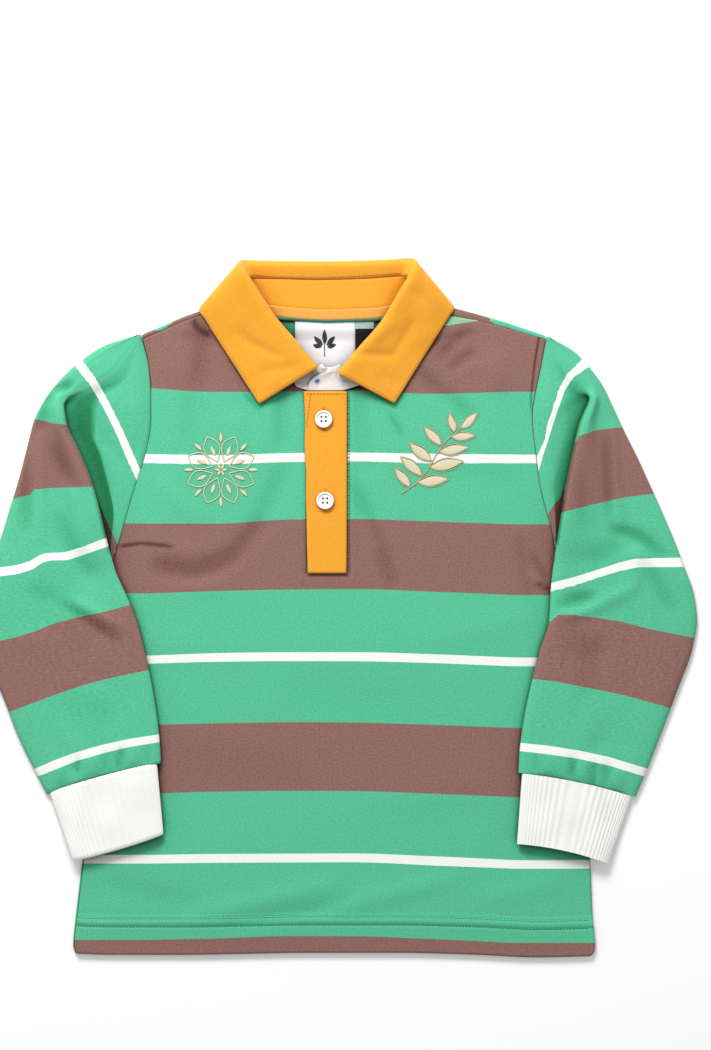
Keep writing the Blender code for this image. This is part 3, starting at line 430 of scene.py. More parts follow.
def surface_normals(grid, ring_from=None):
    """Unit normals of a grid of points. Rows from ring_from on close on themselves."""
    def turned(points):
        normal = np.cross(np.gradient(points, axis=1), np.gradient(points, axis=0))
        return normal / (np.linalg.norm(normal, axis=2, keepdims=True) + 1e-12)
    plain = turned(grid)
    if ring_from is not None:
        wrapped = np.concatenate([grid[:, -2:-1], grid, grid[:, 1:2]], axis=1)
        plain[ring_from:] = turned(wrapped)[ring_from:, 1:-1]
    return plain


# %% [markdown]
# ## The body's outline and its lie
# The front lies on the back, and a little air is left between them. Its upper face is a
# height over each point of the table: flat seams, the hidden collar that lifts the neck,
# and soft folds. Each fold is a row of a table, uneven in length, depth and width.

# %% Body sizes
CLOTH, TWILL, STAND, RIB_CLOTH, TAPE, LABEL = 1.2, 1.5, 1.4, 1.7, 0.8, 0.5
GAP, PLACKET = 0.3, 1.4
BODY_LOFT, LOFT_FADE = 1.2, 32.0
UNDER_FRONT = CLOTH + GAP
FRONT_TOP = UNDER_FRONT + CLOTH
NECK_RISE, NECK_FOOT, NECK_LEFT, NECK_RIGHT = 1.9, 186.0, -118.0, 104.0
ROW_LEVEL, SLOT, SLOT_FOOT = 24.5, (-18.0, 4.0), 29.5
ARMHOLE_CLEAR, ARMHOLE_INSET = 0.35, 0.45
STITCH_LINES = (19.0, 25.0)     # heights of the hem's two rows of stitches above its edge
SIDE_LEFT = [(-243.0, -182.5), (-236.0, -184.0), (-215.0, -182.0), (-180.0, -178.0), (-70.0, -167.5),
             (33.5, -156.0), (45.5, -152.0), (63.5, -147.0), (86.5, -140.0), (107.0, -133.5),
             (131.5, -129.5), (152.5, -129.5), (172.0, -131.5), (190.0, -136.0)]
SIDE_RIGHT = [
    (-243.0, 180.5), (-236.0, 181.5), (-215.0, 179.5), (-180.0, 178.0), (-64.5, 166.0), (44.0, 153.0),
    (54.5, 151.0), (68.5, 147.0), (88.5, 142.3), (107.0, 140.0), (134.0, 137.3), (144.0, 138.3),
    (157.0, 141.0), (174.5, 144.5), (188.5, 147.0),
]
HEM = [(-183.0, -241.4), (-158.0, -242.2), (-108.0, -242.2), (-57.5, -241.4), (-20.0, -240.8), (43.5, -240.8),
       (94.0, -242.0), (144.0, -244.0), (181.0, -243.2)]
FRONT_EDGE = [
    (-136.0, 187.5), (-122.0, 193.5), (-108.0, 199.8), (-92.0, 205.3), (-77.0, 210.5), (-70.0, 194.5),
    (-63.0, 185.3), (-56.5, 177.0), (-48.0, 169.5), (-39.0, 163.0), (-30.5, 157.2), (-22.5, 152.0),
    (-18.0, 151.5), (4.0, 151.5), (8.0, 151.5), (16.0, 153.5), (25.0, 156.5), (35.0, 163.5), (45.0, 172.0),
    (52.0, 182.0), (57.5, 193.0), (64.5, 208.5), (82.0, 203.5), (100.0, 200.6), (115.0, 196.7),
    (131.0, 192.1), (146.4, 187.4),
]
BACK_EDGE = [
    (-136.5, 190.8), (-122.0, 196.8), (-108.0, 203.0), (-92.0, 208.6), (-77.0, 213.8), (-62.0, 206.3),
    (-45.0, 203.2), (-25.0, 201.6), (-4.0, 201.0), (24.0, 201.6), (42.0, 203.4), (52.0, 206.5),
    (64.5, 214.2), (82.0, 209.8), (100.0, 205.0), (118.0, 200.0), (131.0, 195.5), (147.0, 190.2),
]
body_left, body_right, hem_line = outline(SIDE_LEFT), outline(SIDE_RIGHT), outline(HEM)

# %% Folds of the body
# One row for each fold: from one end to the other, half width, and height (a trough is below 0).
BODY_FOLDS = [
    (-91.7, 197.9, -96.6, 155.9, 7, -1.0), (-98.0, 155.9, -105.0, 110.4, 8, -0.5),
    (-116.2, 190.9, -119.7, 159.4, 9, 0.5), (-72.8, 134.9, -67.2, 110.4, 9, 0.4),
    (-38.5, 148.9, -38.5, 110.4, 5, -0.7), (-47.6, 145.4, -51.8, 106.9, 7, 0.4),
    (-126.7, 29.2, -97.3, 24.3, 6, -1.5), (-97.3, 24.3, -70.7, 36.2, 6, -1.6),
    (-70.7, 36.2, -51.8, 61.4, 6.5, -1.1), (-51.8, 61.4, -37.1, 96.4, 7, -0.7),
    (-119.7, 39.0, -91.7, 40.4, 7, 0.5), (-109.2, 12.4, -77.7, 13.8, 8, 0.4),
    (93.8, 195.1, 72.8, 175.5, 4, -1.1), (96.6, 179.0, 79.8, 167.8, 3.5, -0.9),
    (59.5, 163.6, 95.9, 131.4, 5, -1.1), (81.2, 183.9, 93.8, 188.8, 4, 0.5),
    (107.8, 176.9, 114.8, 152.4, 8, 0.6), (72.8, 155.9, 83.3, 138.4, 5, 0.4),
    (14.0, 83.1, 31.5, 39.7, 5, -1.0), (31.5, 39.7, 39.9, 13.8, 5, -1.0), (21.0, 61.4, 29.4, 36.2, 4, 0.5),
    (16.1, 147.5, 23.8, 95.7, 6, -0.5), (28.0, 145.4, 39.2, 96.4, 7, 0.35),
    (137.9, 36.2, 148.4, 19.4, 3, -1.2), (134.4, 25.0, 146.3, 11.0, 3, 0.8),
    (128.8, 47.4, 137.2, 5.4, 5, -0.6), (-102.2, -217.2, -4.2, -194.8, 7, 0.6),
    (-74.2, -222.1, 9.8, -204.6, 6, -0.5), (-0.7, -210.2, 79.8, -190.6, 7, 0.55),
    (-165.2, -190.6, -102.2, -208.1, 8, -0.4), (100.8, -204.6, 163.8, -190.6, 8, 0.4),
    (-123.2, -22.6, -53.2, -33.1, 14, 0.35), (-25.2, -57.6, 58.8, -64.6, 14, -0.3),
    (65.8, -22.6, 128.8, -8.6, 12, 0.4), (-109.2, -106.6, -25.2, -120.6, 14, -0.3),
    (30.8, -134.6, 114.8, -120.6, 14, 0.35), (72.8, 96.4, 128.8, 89.4, 10, -0.35),
    (-130.2, 89.4, -95.2, 61.4, 8, 0.4),
]
# Sharper creases: the same columns, for the thin lines that pressing leaves.
BODY_CREASES = [
    (-151, 42.6, -137, 45.0, 1.3, -0.55), (-137, 45.0, -114, 42.6, 1.3, -0.55),
    (140, 17.0, 152, 12.0, 1.6, -0.5), (-64, 150, -54, 139, 1.8, -0.25), (38, 134, 46, 122, 1.8, -0.25),
    (-99.6, 201.0, -97.0, 195.6, 1.6, -1.0), (-97.0, 195.6, -88.5, 190.6, 1.6, -1.0),
]
# The tuck beside the right armhole, which runs into the seam.
TUCK = outline([(134.0, 0.0), (143.5, 1.6), (157.0, 3.4), (174.5, 4.8), (190.0, 5.0)])


def fold_height(x, y, folds):
    total = np.zeros_like(x)
    for x0, y0, x1, y1, half, height in folds:
        dx, dy = x1 - x0, y1 - y0
        t = ((x - x0) * dx + (y - y0) * dy) / (dx * dx + dy * dy)
        along = smooth(1.35 - np.abs(2 * t - 1.0) * 0.85)
        t = np.clip(t, 0.0, 1.0)
        away = np.hypot(x - x0 - t * dx, y - y0 - t * dy)
        total += height * along * np.exp(-(away / half) ** 2)
    return total


def neck_rise(x, y):
    across = smooth((x - NECK_LEFT) / 18.0) * smooth((NECK_RIGHT - x) / 18.0)
    return NECK_RISE * smooth((y - NECK_FOOT) / 10.0) * across


def placket_pull(x, y):
    """The dent of the stitches round the placket, with a low ridge outside them."""
    left, right, foot = -21.7 + (151.0 - y) * 0.004, 8.4, 22.6
    outside = np.maximum(np.maximum(left - x, x - right), foot - y)
    upper = smooth((152.0 - y) / 4.0)
    return upper * (0.5 * np.exp(-((outside - 3.2) / 2.2) ** 2) - 0.45 * np.exp(-(outside / 0.8) ** 2))


def front_top(x, y):
    """Height of the front's upper face over the table, at arrays of places."""
    x, y = np.asarray(x, float), np.asarray(y, float)
    shoulder = np.interp(x, (-136.0, -77.0, 64.5, 146.4), (187.5, 210.5, 208.5, 184.3))
    edge = np.minimum(x - body_left(y), body_right(y) - x)
    fade = smooth(edge / LOFT_FADE) * smooth((shoulder - y) / LOFT_FADE)
    fade *= smooth((y - hem_line(x)) / LOFT_FADE)
    calm = smooth(edge / 6.0) * smooth((shoulder - y) / 12.0)
    height = FRONT_TOP + neck_rise(x, y) + fade * BODY_LOFT
    height += 1.55 * (0.4 * calm + 0.6 * fade) * fold_height(x, y, BODY_FOLDS)
    height += fold_height(x, y, BODY_CREASES) * smooth(edge / 3.0)
    tuck = np.abs(body_right(y) - TUCK(y) - x)
    height -= 0.55 * np.exp(-(tuck / 0.7) ** 2) * smooth((y - 134.0) / 8.0)
    height += placket_pull(x, y)
    return np.maximum(height, FRONT_TOP - 0.45)


# %% Stripes of the body
# The stripes sag a little. Each row is a place on the ruler, and the heights at which it lies
# at these distances from the middle.
STRIPE_COLUMNS = (-130.0, -85.0, -32.0, 11.0, 66.0, 125.0)
STRIPE_PLACES = [
    (-243.0, -243.4, -242.6, -240.8, -241.0, -243.0, -245.7),
    (-232.0, -232.3, -231.3, -229.6, -229.7, -231.7, -234.4),
    (-178.0, -178.9, -178.4, -178.2, -178.1, -180.2, -182.5),
    (-172.5, -172.8, -172.1, -171.9, -171.8, -173.6, -176.5),
    (-128.5, -130.0, -128.7, -128.1, -128.2, -130.0, -132.5),
    (-81.5, -81.8, -80.8, -80.0, -80.2, -81.8, -84.0), (-37.5, -39.1, -37.9, -37.4, -37.5, -38.7, -41.0),
    (-32.0, -33.4, -31.7, -31.0, -31.0, -32.3, -34.8), (13.0, 10.0, 11.6, 12.7, 13.0, 11.3, 8.8),
    (59.0, 59.0, 58.9, 61.8, 62.2, 60.5, 58.4), (101.5, 101.0, 100.2, 101.8, 102.3, 101.0, 101.0),
    (106.5, 107.6, 107.0, 108.3, 108.7, 107.9, 107.3), (150.5, 153.5, 150.9, 151.3, 152.0, 149.6, 151.1),
    (197.0, 215.3, 203.8, 190.0, 184.0, 195.4, 204.5), (240.0, 258.0, 250.0, 243.0, 240.0, 243.0, 247.0),
]


def body_stripe(x, y):
    """Place on the stripe ruler of a point of the body."""
    rows = [outline(list(zip(STRIPE_COLUMNS, row[1:])))(x) for row in STRIPE_PLACES]
    ruler_value = np.full_like(x, STRIPE_PLACES[0][0])
    for n in range(len(rows) - 1):
        low, high = STRIPE_PLACES[n][0], STRIPE_PLACES[n + 1][0]
        t = (y - rows[n]) / (rows[n + 1] - rows[n])
        ruler_value = np.where(t >= 0, low + (high - low) * t, ruler_value)
    return ruler_value


# %% Grid of a body panel
def body_grid(edge, zones, below, above, spacing, fine_edge=0.0):
    """Plan points of a panel, hem to upper edge. zones are (x from, x to, left line, right line).

    below and above are the rows' shares of the way to ROW_LEVEL and from there to the edge.
    """
    xs, ys, left_of, right_of = [], [], [], []
    for start, end, left, right in zones:
        inside = [p for p in edge if start - 1e-6 <= p[0] <= end + 1e-6]
        keys = [p[0] for p in inside]
        lengths = [0.0]
        for a, b in zip(inside, inside[1:]):
            lengths.append(lengths[-1] + math.dist(a, b))
        places = stations(lengths, spacing)
        if fine_edge and right is not None and end == edge[-1][0]:
            places = np.unique(np.concatenate([places, lengths[-1] - np.arange(0.0, 7.0, fine_edge)]))
        if fine_edge and start == edge[0][0]:
            places = np.unique(np.concatenate([places, np.arange(0.0, 4.0, 2 * fine_edge)]))
        xs += list(np.interp(places, lengths, keys))
        ys += list(np.interp(places, lengths, [p[1] for p in inside]))
        left_of += [left] * len(places)
        right_of += [right] * len(places)
    keep = [0] + [n for n in range(1, len(xs)) if abs(xs[n] - xs[n - 1]) > 1e-6]
    xs, ys = np.array(xs)[keep], np.array(ys)[keep]
    left_of, right_of = [left_of[n] for n in keep], [right_of[n] for n in keep]
    plan = []
    for n in range(len(xs)):
        share = (xs[n] - left_of[n](ys[n])) / (right_of[n](ys[n]) - left_of[n](ys[n]))
        share = min(max(float(share), 0.0), 1.0)
        foot_x = left_of[n](-240.0) + (right_of[n](-240.0) - left_of[n](-240.0)) * share
        foot = float(hem_line(foot_x))
        level = np.concatenate([foot + (ROW_LEVEL - foot) * below, ROW_LEVEL + (ys[n] - ROW_LEVEL) * above])
        across = left_of[n](level) + (right_of[n](level) - left_of[n](level)) * share
        plan.append(np.stack([across, level], -1))
    return np.array(plan).transpose(1, 0, 2), xs


BODY_DEPTH, BODY_TOP = ROW_LEVEL + 243.0, 127.0
# Rows lie close at the hem's stitches, at the underarm crease and near the neck.
FRONT_BELOW = np.unique(np.concatenate([stations([0.0, 17.0], 1.3), stations([17.0, 29.0], 0.7),
                                        stations([29.0, BODY_DEPTH], 2.7)])) / BODY_DEPTH
FRONT_ABOVE = np.unique(np.concatenate([stations([0.0, 12.0], 2.4), stations([12.0, 24.0], 0.7),
                                        stations([24.0, 108.0], 2.4),
                                        stations([108.0, BODY_TOP], 1.2)]))[1:] / BODY_TOP


# %% [markdown]
# ## The front panel
# The front is cut open below the throat for the placket, and its hem is turned up and
# held by two rows of stitches. Between the rows the cloth puffs up into a low welt. It
# could be one flat plane with a picture of stripes, but then the hem and the folds would
# catch no light, so the grid is close where the sewing is.

# %% Front
def hem_relief(x, y):
    """The turned hem: a step, a welt between the stitch rows, and a dip at each row."""
    up = y - hem_line(x)
    relief = 0.4 * smooth((28.0 - up) / 2.5)
    relief += 0.45 * np.exp(-((up - 22.0) / 2.0) ** 2)
    for row in STITCH_LINES:
        relief -= (0.5 if row < 22.0 else 0.25) * np.exp(-((up - row) / 0.8) ** 2)
    return relief


def rounded_side(line, sign, inset):
    """A side line pulled in at the hem to a round corner."""
    def read(y):
        low = np.clip(1.0 - (np.asarray(y, float) + 243.4) / 3.4, 0.0, 1.0)
        return line(y) + sign * (inset(y) + 3.4 * (1.0 - np.sqrt(1.0 - low ** 2 * 0.98)))
    return read


front_left = rounded_side(body_left, 1, lambda y: ARMHOLE_INSET * smooth((y - 20.0) / 12.0)
                          + 1.9 * smooth((20.0 - y) / 60.0))
front_right = rounded_side(body_right, -1, lambda y: ARMHOLE_INSET * smooth((y - 30.0) / 12.0)
                           + 0.8 * smooth((30.0 - y) / 60.0))
straight = [lambda y, x=x: np.full_like(np.asarray(y, float), x) for x in SLOT]
plan, columns = body_grid(FRONT_EDGE, [(-136.0, SLOT[0], front_left, straight[0]),
                                       (SLOT[0], SLOT[1], straight[0], straight[1]),
                                       (SLOT[1], 146.4, straight[1], front_right)],
                          FRONT_BELOW, FRONT_ABOVE, 2.6, fine_edge=0.7)
x, y = plan[..., 0], plan[..., 1]
top = front_top(x, y) + hem_relief(x, y)
bottom = np.maximum(front_top(x, y) - CLOTH, UNDER_FRONT + neck_rise(x, y) - 0.05)
slot_columns = (columns[:-1] >= SLOT[0] - 1e-6) & (columns[1:] <= SLOT[1] + 1e-6)
slot_rows = y[:-1, :-1] > SLOT_FOOT
tuck = np.abs(body_right(y) - TUCK(y) - x)
# Painted shade: fold troughs, the pressed creases and the tuck are darkened in the colour through the shade
# attribute.
shade = 0.14 * np.clip(-fold_height(x, y, BODY_FOLDS), 0.0, 1.8)
shade += 0.75 * np.clip(-fold_height(x, y, BODY_CREASES) / 0.6, 0.0, 1.0)
shade = np.clip(shade + 0.65 * np.exp(-(tuck / 0.7) ** 2) * smooth((y - 134.0) / 8.0), 0.0, 1.0)
front = shell("front_panel_cloth", np.dstack([x, y, top]), np.dstack([x, y, bottom]), plan, jersey,
              stripe=body_stripe(x, y), keep=~(slot_columns[None, :] & slot_rows), shade=shade)
print("front:", plan.shape, len(front.data.polygons))

# %% [markdown]
# ## The back panel
# The back lies flat on the table and turns forward over both shoulders, where its edge
# shows above the front. It could stop at the shoulder, but the rolled edge is what makes
# a laid-out shirt read as folded cloth and not as two cards.

# %% Back
BACK_BELOW = stations([0.0, BODY_DEPTH], 4.5) / BODY_DEPTH
BACK_ABOVE = stations([0.0, BODY_TOP], 3.0)[1:] / BODY_TOP
back_left = rounded_side(body_left, 1, lambda y: ARMHOLE_INSET * smooth((y - 20.0) / 12.0))
back_right = rounded_side(body_right, -1, lambda y: ARMHOLE_INSET * smooth((y - 30.0) / 12.0))
plan, columns = body_grid(BACK_EDGE, [(-136.5, 147.0, back_left, back_right)], BACK_BELOW, BACK_ABOVE, 3.5)
x, y = plan[..., 0], plan[..., 1]
lift = neck_rise(x, y)
face, lining = np.dstack([x, y, lift]), np.dstack([x, y, lift + CLOTH])
edge_x, edge_y, edge_lift = x[-1], y[-1], lift[-1]
half = FRONT_TOP / 2
turn = np.interp(edge_x, (0.0, 64.0, 82.0, 100.0, 115.0, 131.0, 147.0), (2.7, 5.2, 5.4, 4.1, 3.6, 3.1, 2.5))
extra_face, extra_lining = [], []
face[-1, :, 1] = edge_y - half
lining[-1, :, 1] = edge_y - half
for angle in np.linspace(-90.0, 90.0, 9)[1:]:
    c, s = math.cos(math.radians(angle)), math.sin(math.radians(angle))
    extra_face.append(np.stack([edge_x, edge_y - half + half * c, edge_lift + half + half * s], -1))
    extra_lining.append(np.stack([edge_x, edge_y - half + 0.15 * c, edge_lift + half + 0.15 * s], -1))
for share in (0.35, 0.7, 1.0):
    reach = edge_y - half - (turn - half) * share
    extra_face.append(np.stack([edge_x, reach, edge_lift + FRONT_TOP - 0.25 * share ** 3], -1))
    extra_lining.append(np.stack([edge_x, reach, edge_lift + UNDER_FRONT], -1))
flat_rows = len(face)
face = np.concatenate([face, np.array(extra_face)])
lining = np.concatenate([lining, np.array(extra_lining)])
rolled = np.zeros((len(face) - 1, len(columns) - 1), bool)
rolled[:flat_rows - 1] = True
shoulder_columns = (columns[1:] <= -77.0 + 1e-6) | (columns[:-1] >= 64.5 - 1e-6)
rolled[flat_rows - 1:] = shoulder_columns[None, :]
under = body_stripe(face[..., 0], face[..., 1])
inside = np.where(face[..., 1] > 120.0, GREEN_PLACE, under)
for n in range(flat_rows - 1, len(face)):
    reach = (n - flat_rows + 1) / (len(face) - flat_rows)
    strip = np.where(edge_x > 103.5 + 6.5 * reach, GREEN_PLACE, BROWN_PLACE)
    left_patch = (edge_x > -134.0 + 12.0 * reach) & (edge_x < -108.0 - 12.0 * reach)
    strip = np.where(left_patch, GREEN_PLACE, strip)
    under[n] = strip
    inside[n] = strip
uv = face[..., :2].copy()
uv[flat_rows:, :, 1] = edge_y + (np.arange(len(face) - flat_rows) * 1.2)[:, None]
back = shell("back_panel_cloth", face, lining, uv, jersey, stripe=(under, inside), keep=rolled)
print("back:", face.shape, len(back.data.polygons))

# %% [markdown]
# ## The sleeves
# Each sleeve is set into the armhole, puffs over a deep fold, and then lies flat down to its cuff. A section
# is a row of points from the seam over the fold and the top, round the pressed outer edge and back below. The
# fold's lip hangs over its hollow, so the hollow falls partly into real shade, and painted shade in its
# colour darkens it further.

# %% Sleeve tables
# seam y, hollow x y z, lip x y z, middle x y, outer x y, and how far the lip overhangs (0 to 1)
CAP_LEFT = [
    (190.4, -136.6, 190.8, 4.1, -137.3, 190.9, 4.2, -138.3, 190.9, -139.4, 190.7, 0.0),
    (168.0, -142.5, 173.0, 4.4, -148.0, 176.0, 5.2, -154.5, 179.5, -162.5, 183.0, 0.0),
    (147.0, -151.0, 158.5, 4.6, -159.5, 163.5, 6.4, -170.0, 168.5, -180.0, 171.5, 0.0),
    (129.5, -166.0, 150.5, 4.2, -180.5, 154.5, 6.6, -188.0, 158.0, -195.5, 156.5, 0.0),
    (109.0, -172.5, 140.0, 3.4, -190.5, 142.5, 8.4, -199.0, 145.0, -205.0, 143.5, 0.4),
    (92.0, -172.5, 124.5, 3.0, -188.5, 128.5, 9.8, -200.5, 130.0, -211.0, 131.5, 1.0),
    (75.5, -166.5, 108.5, 3.4, -180.0, 109.5, 9.6, -200.0, 110.5, -216.5, 110.5, 1.0),
    (60.0, -160.5, 87.5, 3.4, -171.5, 88.5, 9.6, -197.5, 89.5, -222.0, 89.5, 1.0),
    (46.0, -156.0, 67.0, 4.8, -165.5, 67.5, 9.6, -196.5, 68.5, -228.5, 68.5, 1.0),
    (36.0, -157.5, 44.0, 7.2, -160.5, 47.0, 8.6, -199.0, 46.5, -235.0, 47.5, 1.0),
]
CAP_RIGHT = [
    (189.2, 148.1, 189.3, 4.1, 148.8, 189.2, 4.2, 149.4, 189.1, 150.4, 188.7, 0.0),
    (168.0, 151.5, 172.0, 4.4, 156.0, 174.8, 5.2, 161.0, 177.2, 167.0, 179.0, 0.0),
    (149.5, 158.0, 158.0, 4.4, 165.5, 163.0, 6.2, 171.0, 167.0, 177.5, 168.0, 0.0),
    (134.0, 163.0, 147.0, 4.0, 175.5, 154.0, 6.8, 180.5, 156.5, 186.0, 156.5, 0.0),
    (117.5, 163.5, 138.0, 3.2, 177.5, 146.5, 8.8, 185.5, 147.0, 192.0, 144.5, 0.5),
    (100.0, 161.0, 119.5, 3.4, 170.8, 129.5, 9.4, 183.5, 127.5, 201.0, 125.0, 0.9),
    (83.0, 157.5, 103.5, 3.4, 165.8, 108.0, 9.6, 187.5, 108.5, 210.0, 107.0, 1.0),
    (68.5, 154.0, 86.0, 3.4, 161.6, 87.5, 9.6, 190.5, 88.0, 219.0, 87.5, 1.0),
    (56.5, 153.4, 70.0, 4.2, 158.4, 68.5, 9.6, 193.0, 67.5, 227.5, 68.5, 1.0),
    (46.0, 153.8, 50.0, 6.2, 155.6, 51.5, 8.6, 196.0, 47.5, 236.5, 47.5, 1.0),
]
# inner fold x y, middle x y, outer fold x y, extra height
ARM_LEFT = [
    (-152.5, 22.0, -199.0, 24.5, -244.5, 25.5, 0.8), (-145.0, 5.5, -196.5, 1.0, -251.0, 4.5, 0.5),
    (-139.5, -8.5, -193.0, -18.5, -252.0, -12.0, 0.2), (-133.5, -31.0, -189.5, -42.0, -246.5, -34.5, 0.0),
    (-128.0, -57.5, -182.5, -71.0, -234.5, -59.0, 0.0), (-124.2, -83.0, -173.5, -95.0, -222.0, -91.0, 0.0),
    (-122.8, -98.0, -168.0, -108.5, -211.0, -113.5, 0.3),
    (-122.3, -108.2, -165.0, -118.3, -202.5, -130.3, -0.4),
]
ARM_RIGHT = [
    (152.0, 30.0, 198.0, 29.0, 243.5, 29.0, 0.8), (150.0, 11.0, 199.5, 9.5, 250.5, 9.0, 0.5),
    (149.0, -8.0, 202.5, -7.0, 252.5, -9.0, 0.2), (143.0, -28.0, 195.5, -31.0, 249.5, -28.0, 0.0),
    (136.5, -52.5, 188.5, -57.5, 239.0, -57.5, 0.0), (130.0, -86.0, 178.0, -93.5, 226.0, -92.0, 0.0),
    (128.0, -104.0, 172.0, -110.5, 217.0, -115.0, 0.3), (127.5, -115.3, 168.5, -121.5, 209.5, -132.5, -0.4),
]
SLEEVE_FOLD, SLEEVE_FULL = 4.2, 5.0
SIDE_DROP, SIDE_SHELF, REST_ON_BODY = 16.0, 4.0, 0.6


# %% Sleeve sections
def mix(a, b, t):
    return a + (b - a) * t


def toward(a, b, reach):
    length = math.dist(a, b)
    return mix(a[0], b[0], reach / length), mix(a[1], b[1], reach / length)


def sleeve_base(side, x, y):
    """Height of what a sleeve lies on: the front, or past its side the table."""
    past = float(body_left(y) - x) if side < 0 else float(x - body_right(y))
    if past <= 0.0:
        return float(front_top(x, y)) + REST_ON_BODY
    return (FRONT_TOP + REST_ON_BODY) * (1.0 - float(smooth((past - SIDE_SHELF) / SIDE_DROP)))


def arc_point(a, middle, b, t):
    return tuple(p * (2 * t - 1) * (t - 1) + q * 4 * t * (1 - t) + r * t * (2 * t - 1)
                 for p, q, r in zip(a, middle, b))


def outer_fold(plan, width, base, full=SLEEVE_FOLD):
    reach = min(1.0, width / 14.0)
    return [(*plan(5.0 * reach), base + full + 0.4 * reach), (*plan(2.2 * reach), base + full - 0.1),
            (*plan(0.7 * reach), base + full - 1.0), (*plan(0.0), base + full / 2),
            (*plan(0.7 * reach), base + 1.0), (*plan(3.6 * reach), base)]


def cap_section(row, side, weight):
    """From the front seam, over the lip and the top, round the outer edge, to the back seam."""
    seam_y, hx, hy, hz, lx, ly, lz, mx, my, ox, oy, hang = row
    line = body_left if side < 0 else body_right
    seam = (float(line(seam_y)) + side * ARMHOLE_CLEAR, seam_y)
    hollow, lip, mid, outer = (hx, hy), (lx, ly), (mx, my), (ox, oy)
    seam_top = FRONT_TOP + 0.7 * weight
    lz += 1.4 * hang
    swell = (max(0.0, math.dist(seam, hollow) - 10.0) * 0.06 + 0.4) * (1.0 - 0.7 * hang)
    section = [(*seam, seam_top)]
    for share in (0.12, 0.4, 0.75):
        spot = (mix(seam[0], hollow[0], share), mix(seam[1], hollow[1], share))
        drop = mix(seam_top, hz, share) + swell * math.sin(math.pi * share) * (1 - weight)
        section.append((*spot, drop - 0.8 * hang * share ** 2))
    section.append((*hollow, hz - 0.8 * hang))
    tucked = toward(lip, mid, 2.2 * hang) if hang else (mix(hx, lx, 0.45), mix(hy, ly, 0.45))
    section.append((*tucked, mix(mix(hz, lz, 0.4), hz - 0.7, hang)))
    roll = toward(lip, mid, -0.6) if hang else (mix(hx, lx, 0.75), mix(hy, ly, 0.75))
    section.append((*roll, mix(mix(hz, lz, 0.8), mix(hz, lz, 0.55), hang)))
    section.append((*toward(lip, mid, 1.6 * hang + 0.01), lz - 0.25))
    section.append((*toward(lip, mid, 1.6 + 3.2 * hang), lz))
    full = min(lz - 0.3, SLEEVE_FULL + 1.0)
    fold = mix(full - 0.2, SLEEVE_FOLD, min(1.0, math.dist(outer, mid) / 14.0))
    start = section[-1]
    for share in (0.4, 0.75, 1.0):
        spot = (mix(start[0], mid[0], share), mix(start[1], mid[1], share))
        section.append((*spot, mix(lz, full, float(smooth(share)))))
    for share in (0.4, 0.75):
        spot = (mix(mid[0], outer[0], share * 0.8), mix(mid[1], outer[1], share * 0.8))
        section.append((*spot, mix(full, fold + 0.6 * min(1.0, fold / SLEEVE_FOLD), share)))
    section += outer_fold(lambda reach: toward(outer, mid, reach), math.dist(outer, mid), 0.0, fold)
    start = section[-1]
    for share in (0.15, 0.3, 0.45, 0.6, 0.75, 0.88):
        spot = (mix(start[0], seam[0], share), mix(start[1], seam[1], share))
        section.append((*spot, weight * sleeve_base(side, *spot)))
    section.append((*seam, mix(0.0, seam_top, weight)))
    return section


def arm_section(row, side):
    """Closed section below the underarm, begun under the inner fold."""
    ends = ((row[0], row[1]), (row[2], row[3]), (row[4], row[5]))
    width = math.dist(ends[0], ends[2])

    def lie(reach, height):
        spot = arc_point(*ends, reach / width)
        return (*spot, sleeve_base(side, *spot) + height)

    full = SLEEVE_FULL + row[6]
    section = [lie(5.0, 0.0), lie(3.6, 0.0), lie(2.2, 0.15), lie(1.1, 0.6), lie(0.3, 1.3), lie(0.0, 2.1),
               lie(0.5, 3.1), lie(2.0, 3.9), lie(5.5, SLEEVE_FOLD + 0.4)]
    section += [lie(mix(5.5, width - 5.0, share), full) for share in (0.22, 0.42, 0.6, 0.75, 0.88)]
    section += outer_fold(lambda reach: arc_point(*ends, 1.0 - reach / width), width,
                          sleeve_base(side, *ends[2]))
    section += [lie(mix(width - 3.6, 5.0, share), 0.0) for share in (0.15, 0.3, 0.45, 0.6, 0.75, 0.88)]
    section.append(section[0])
    return section


# %% [markdown]
# ### The sleeves' stripes
# The stripes follow the cloth, so they bend where it folds. Each stripe's start is a
# short line over the sleeve. A point between two lines takes its place on the ruler from
# both. The hollow beside the fold has its own lines, because it is another stretch of cloth.

# %% Sleeve stripe lines
# Picture columns and rows of each line, with the ruler value that it stands for.
LINES_RIGHT = [
    (99.0, [(540, 385), (720, 385)]), (59.0, [(576, 437), (596, 430), (613, 428), (622, 427)]),
    (13.0, [(561.7, 512.4), (593, 504.5), (624, 497.4), (653.6, 493.8)]),
    (-32.0, [(551.6, 582.8), (576, 576.3), (598.6, 569.3), (621.2, 561.7), (635.3, 558.6), (680.4, 557.5)]),
    (-37.5, [(551.6, 591.8), (576, 585.6), (598.6, 577.7), (621.2, 570.7), (638, 567.3), (684.6, 567)]),
    (-81.5, [(550.5, 621), (557.3, 614.2), (569.6, 614.2), (591.3, 616.7), (619, 621), (650, 629),
           (695.8, 638.3)]),
    (-128.5, [(531.9, 678.5), (554.2, 681), (588.2, 687.8), (619.1, 694), (646.9, 701.4), (670.1, 707.9)]),
    (-172.5, [(520.8, 742.5), (548, 745.3), (578.9, 750.2), (609.8, 757), (634.6, 764.7), (648.5, 768.7)]),
    (-178.0, [(520.2, 750.8), (548, 753.9), (578.9, 758.5), (609.8, 765.7), (634.6, 773.4),
           (644.5, 776.5)]),
    (-232.0, [(516, 832), (630, 850)]),
]
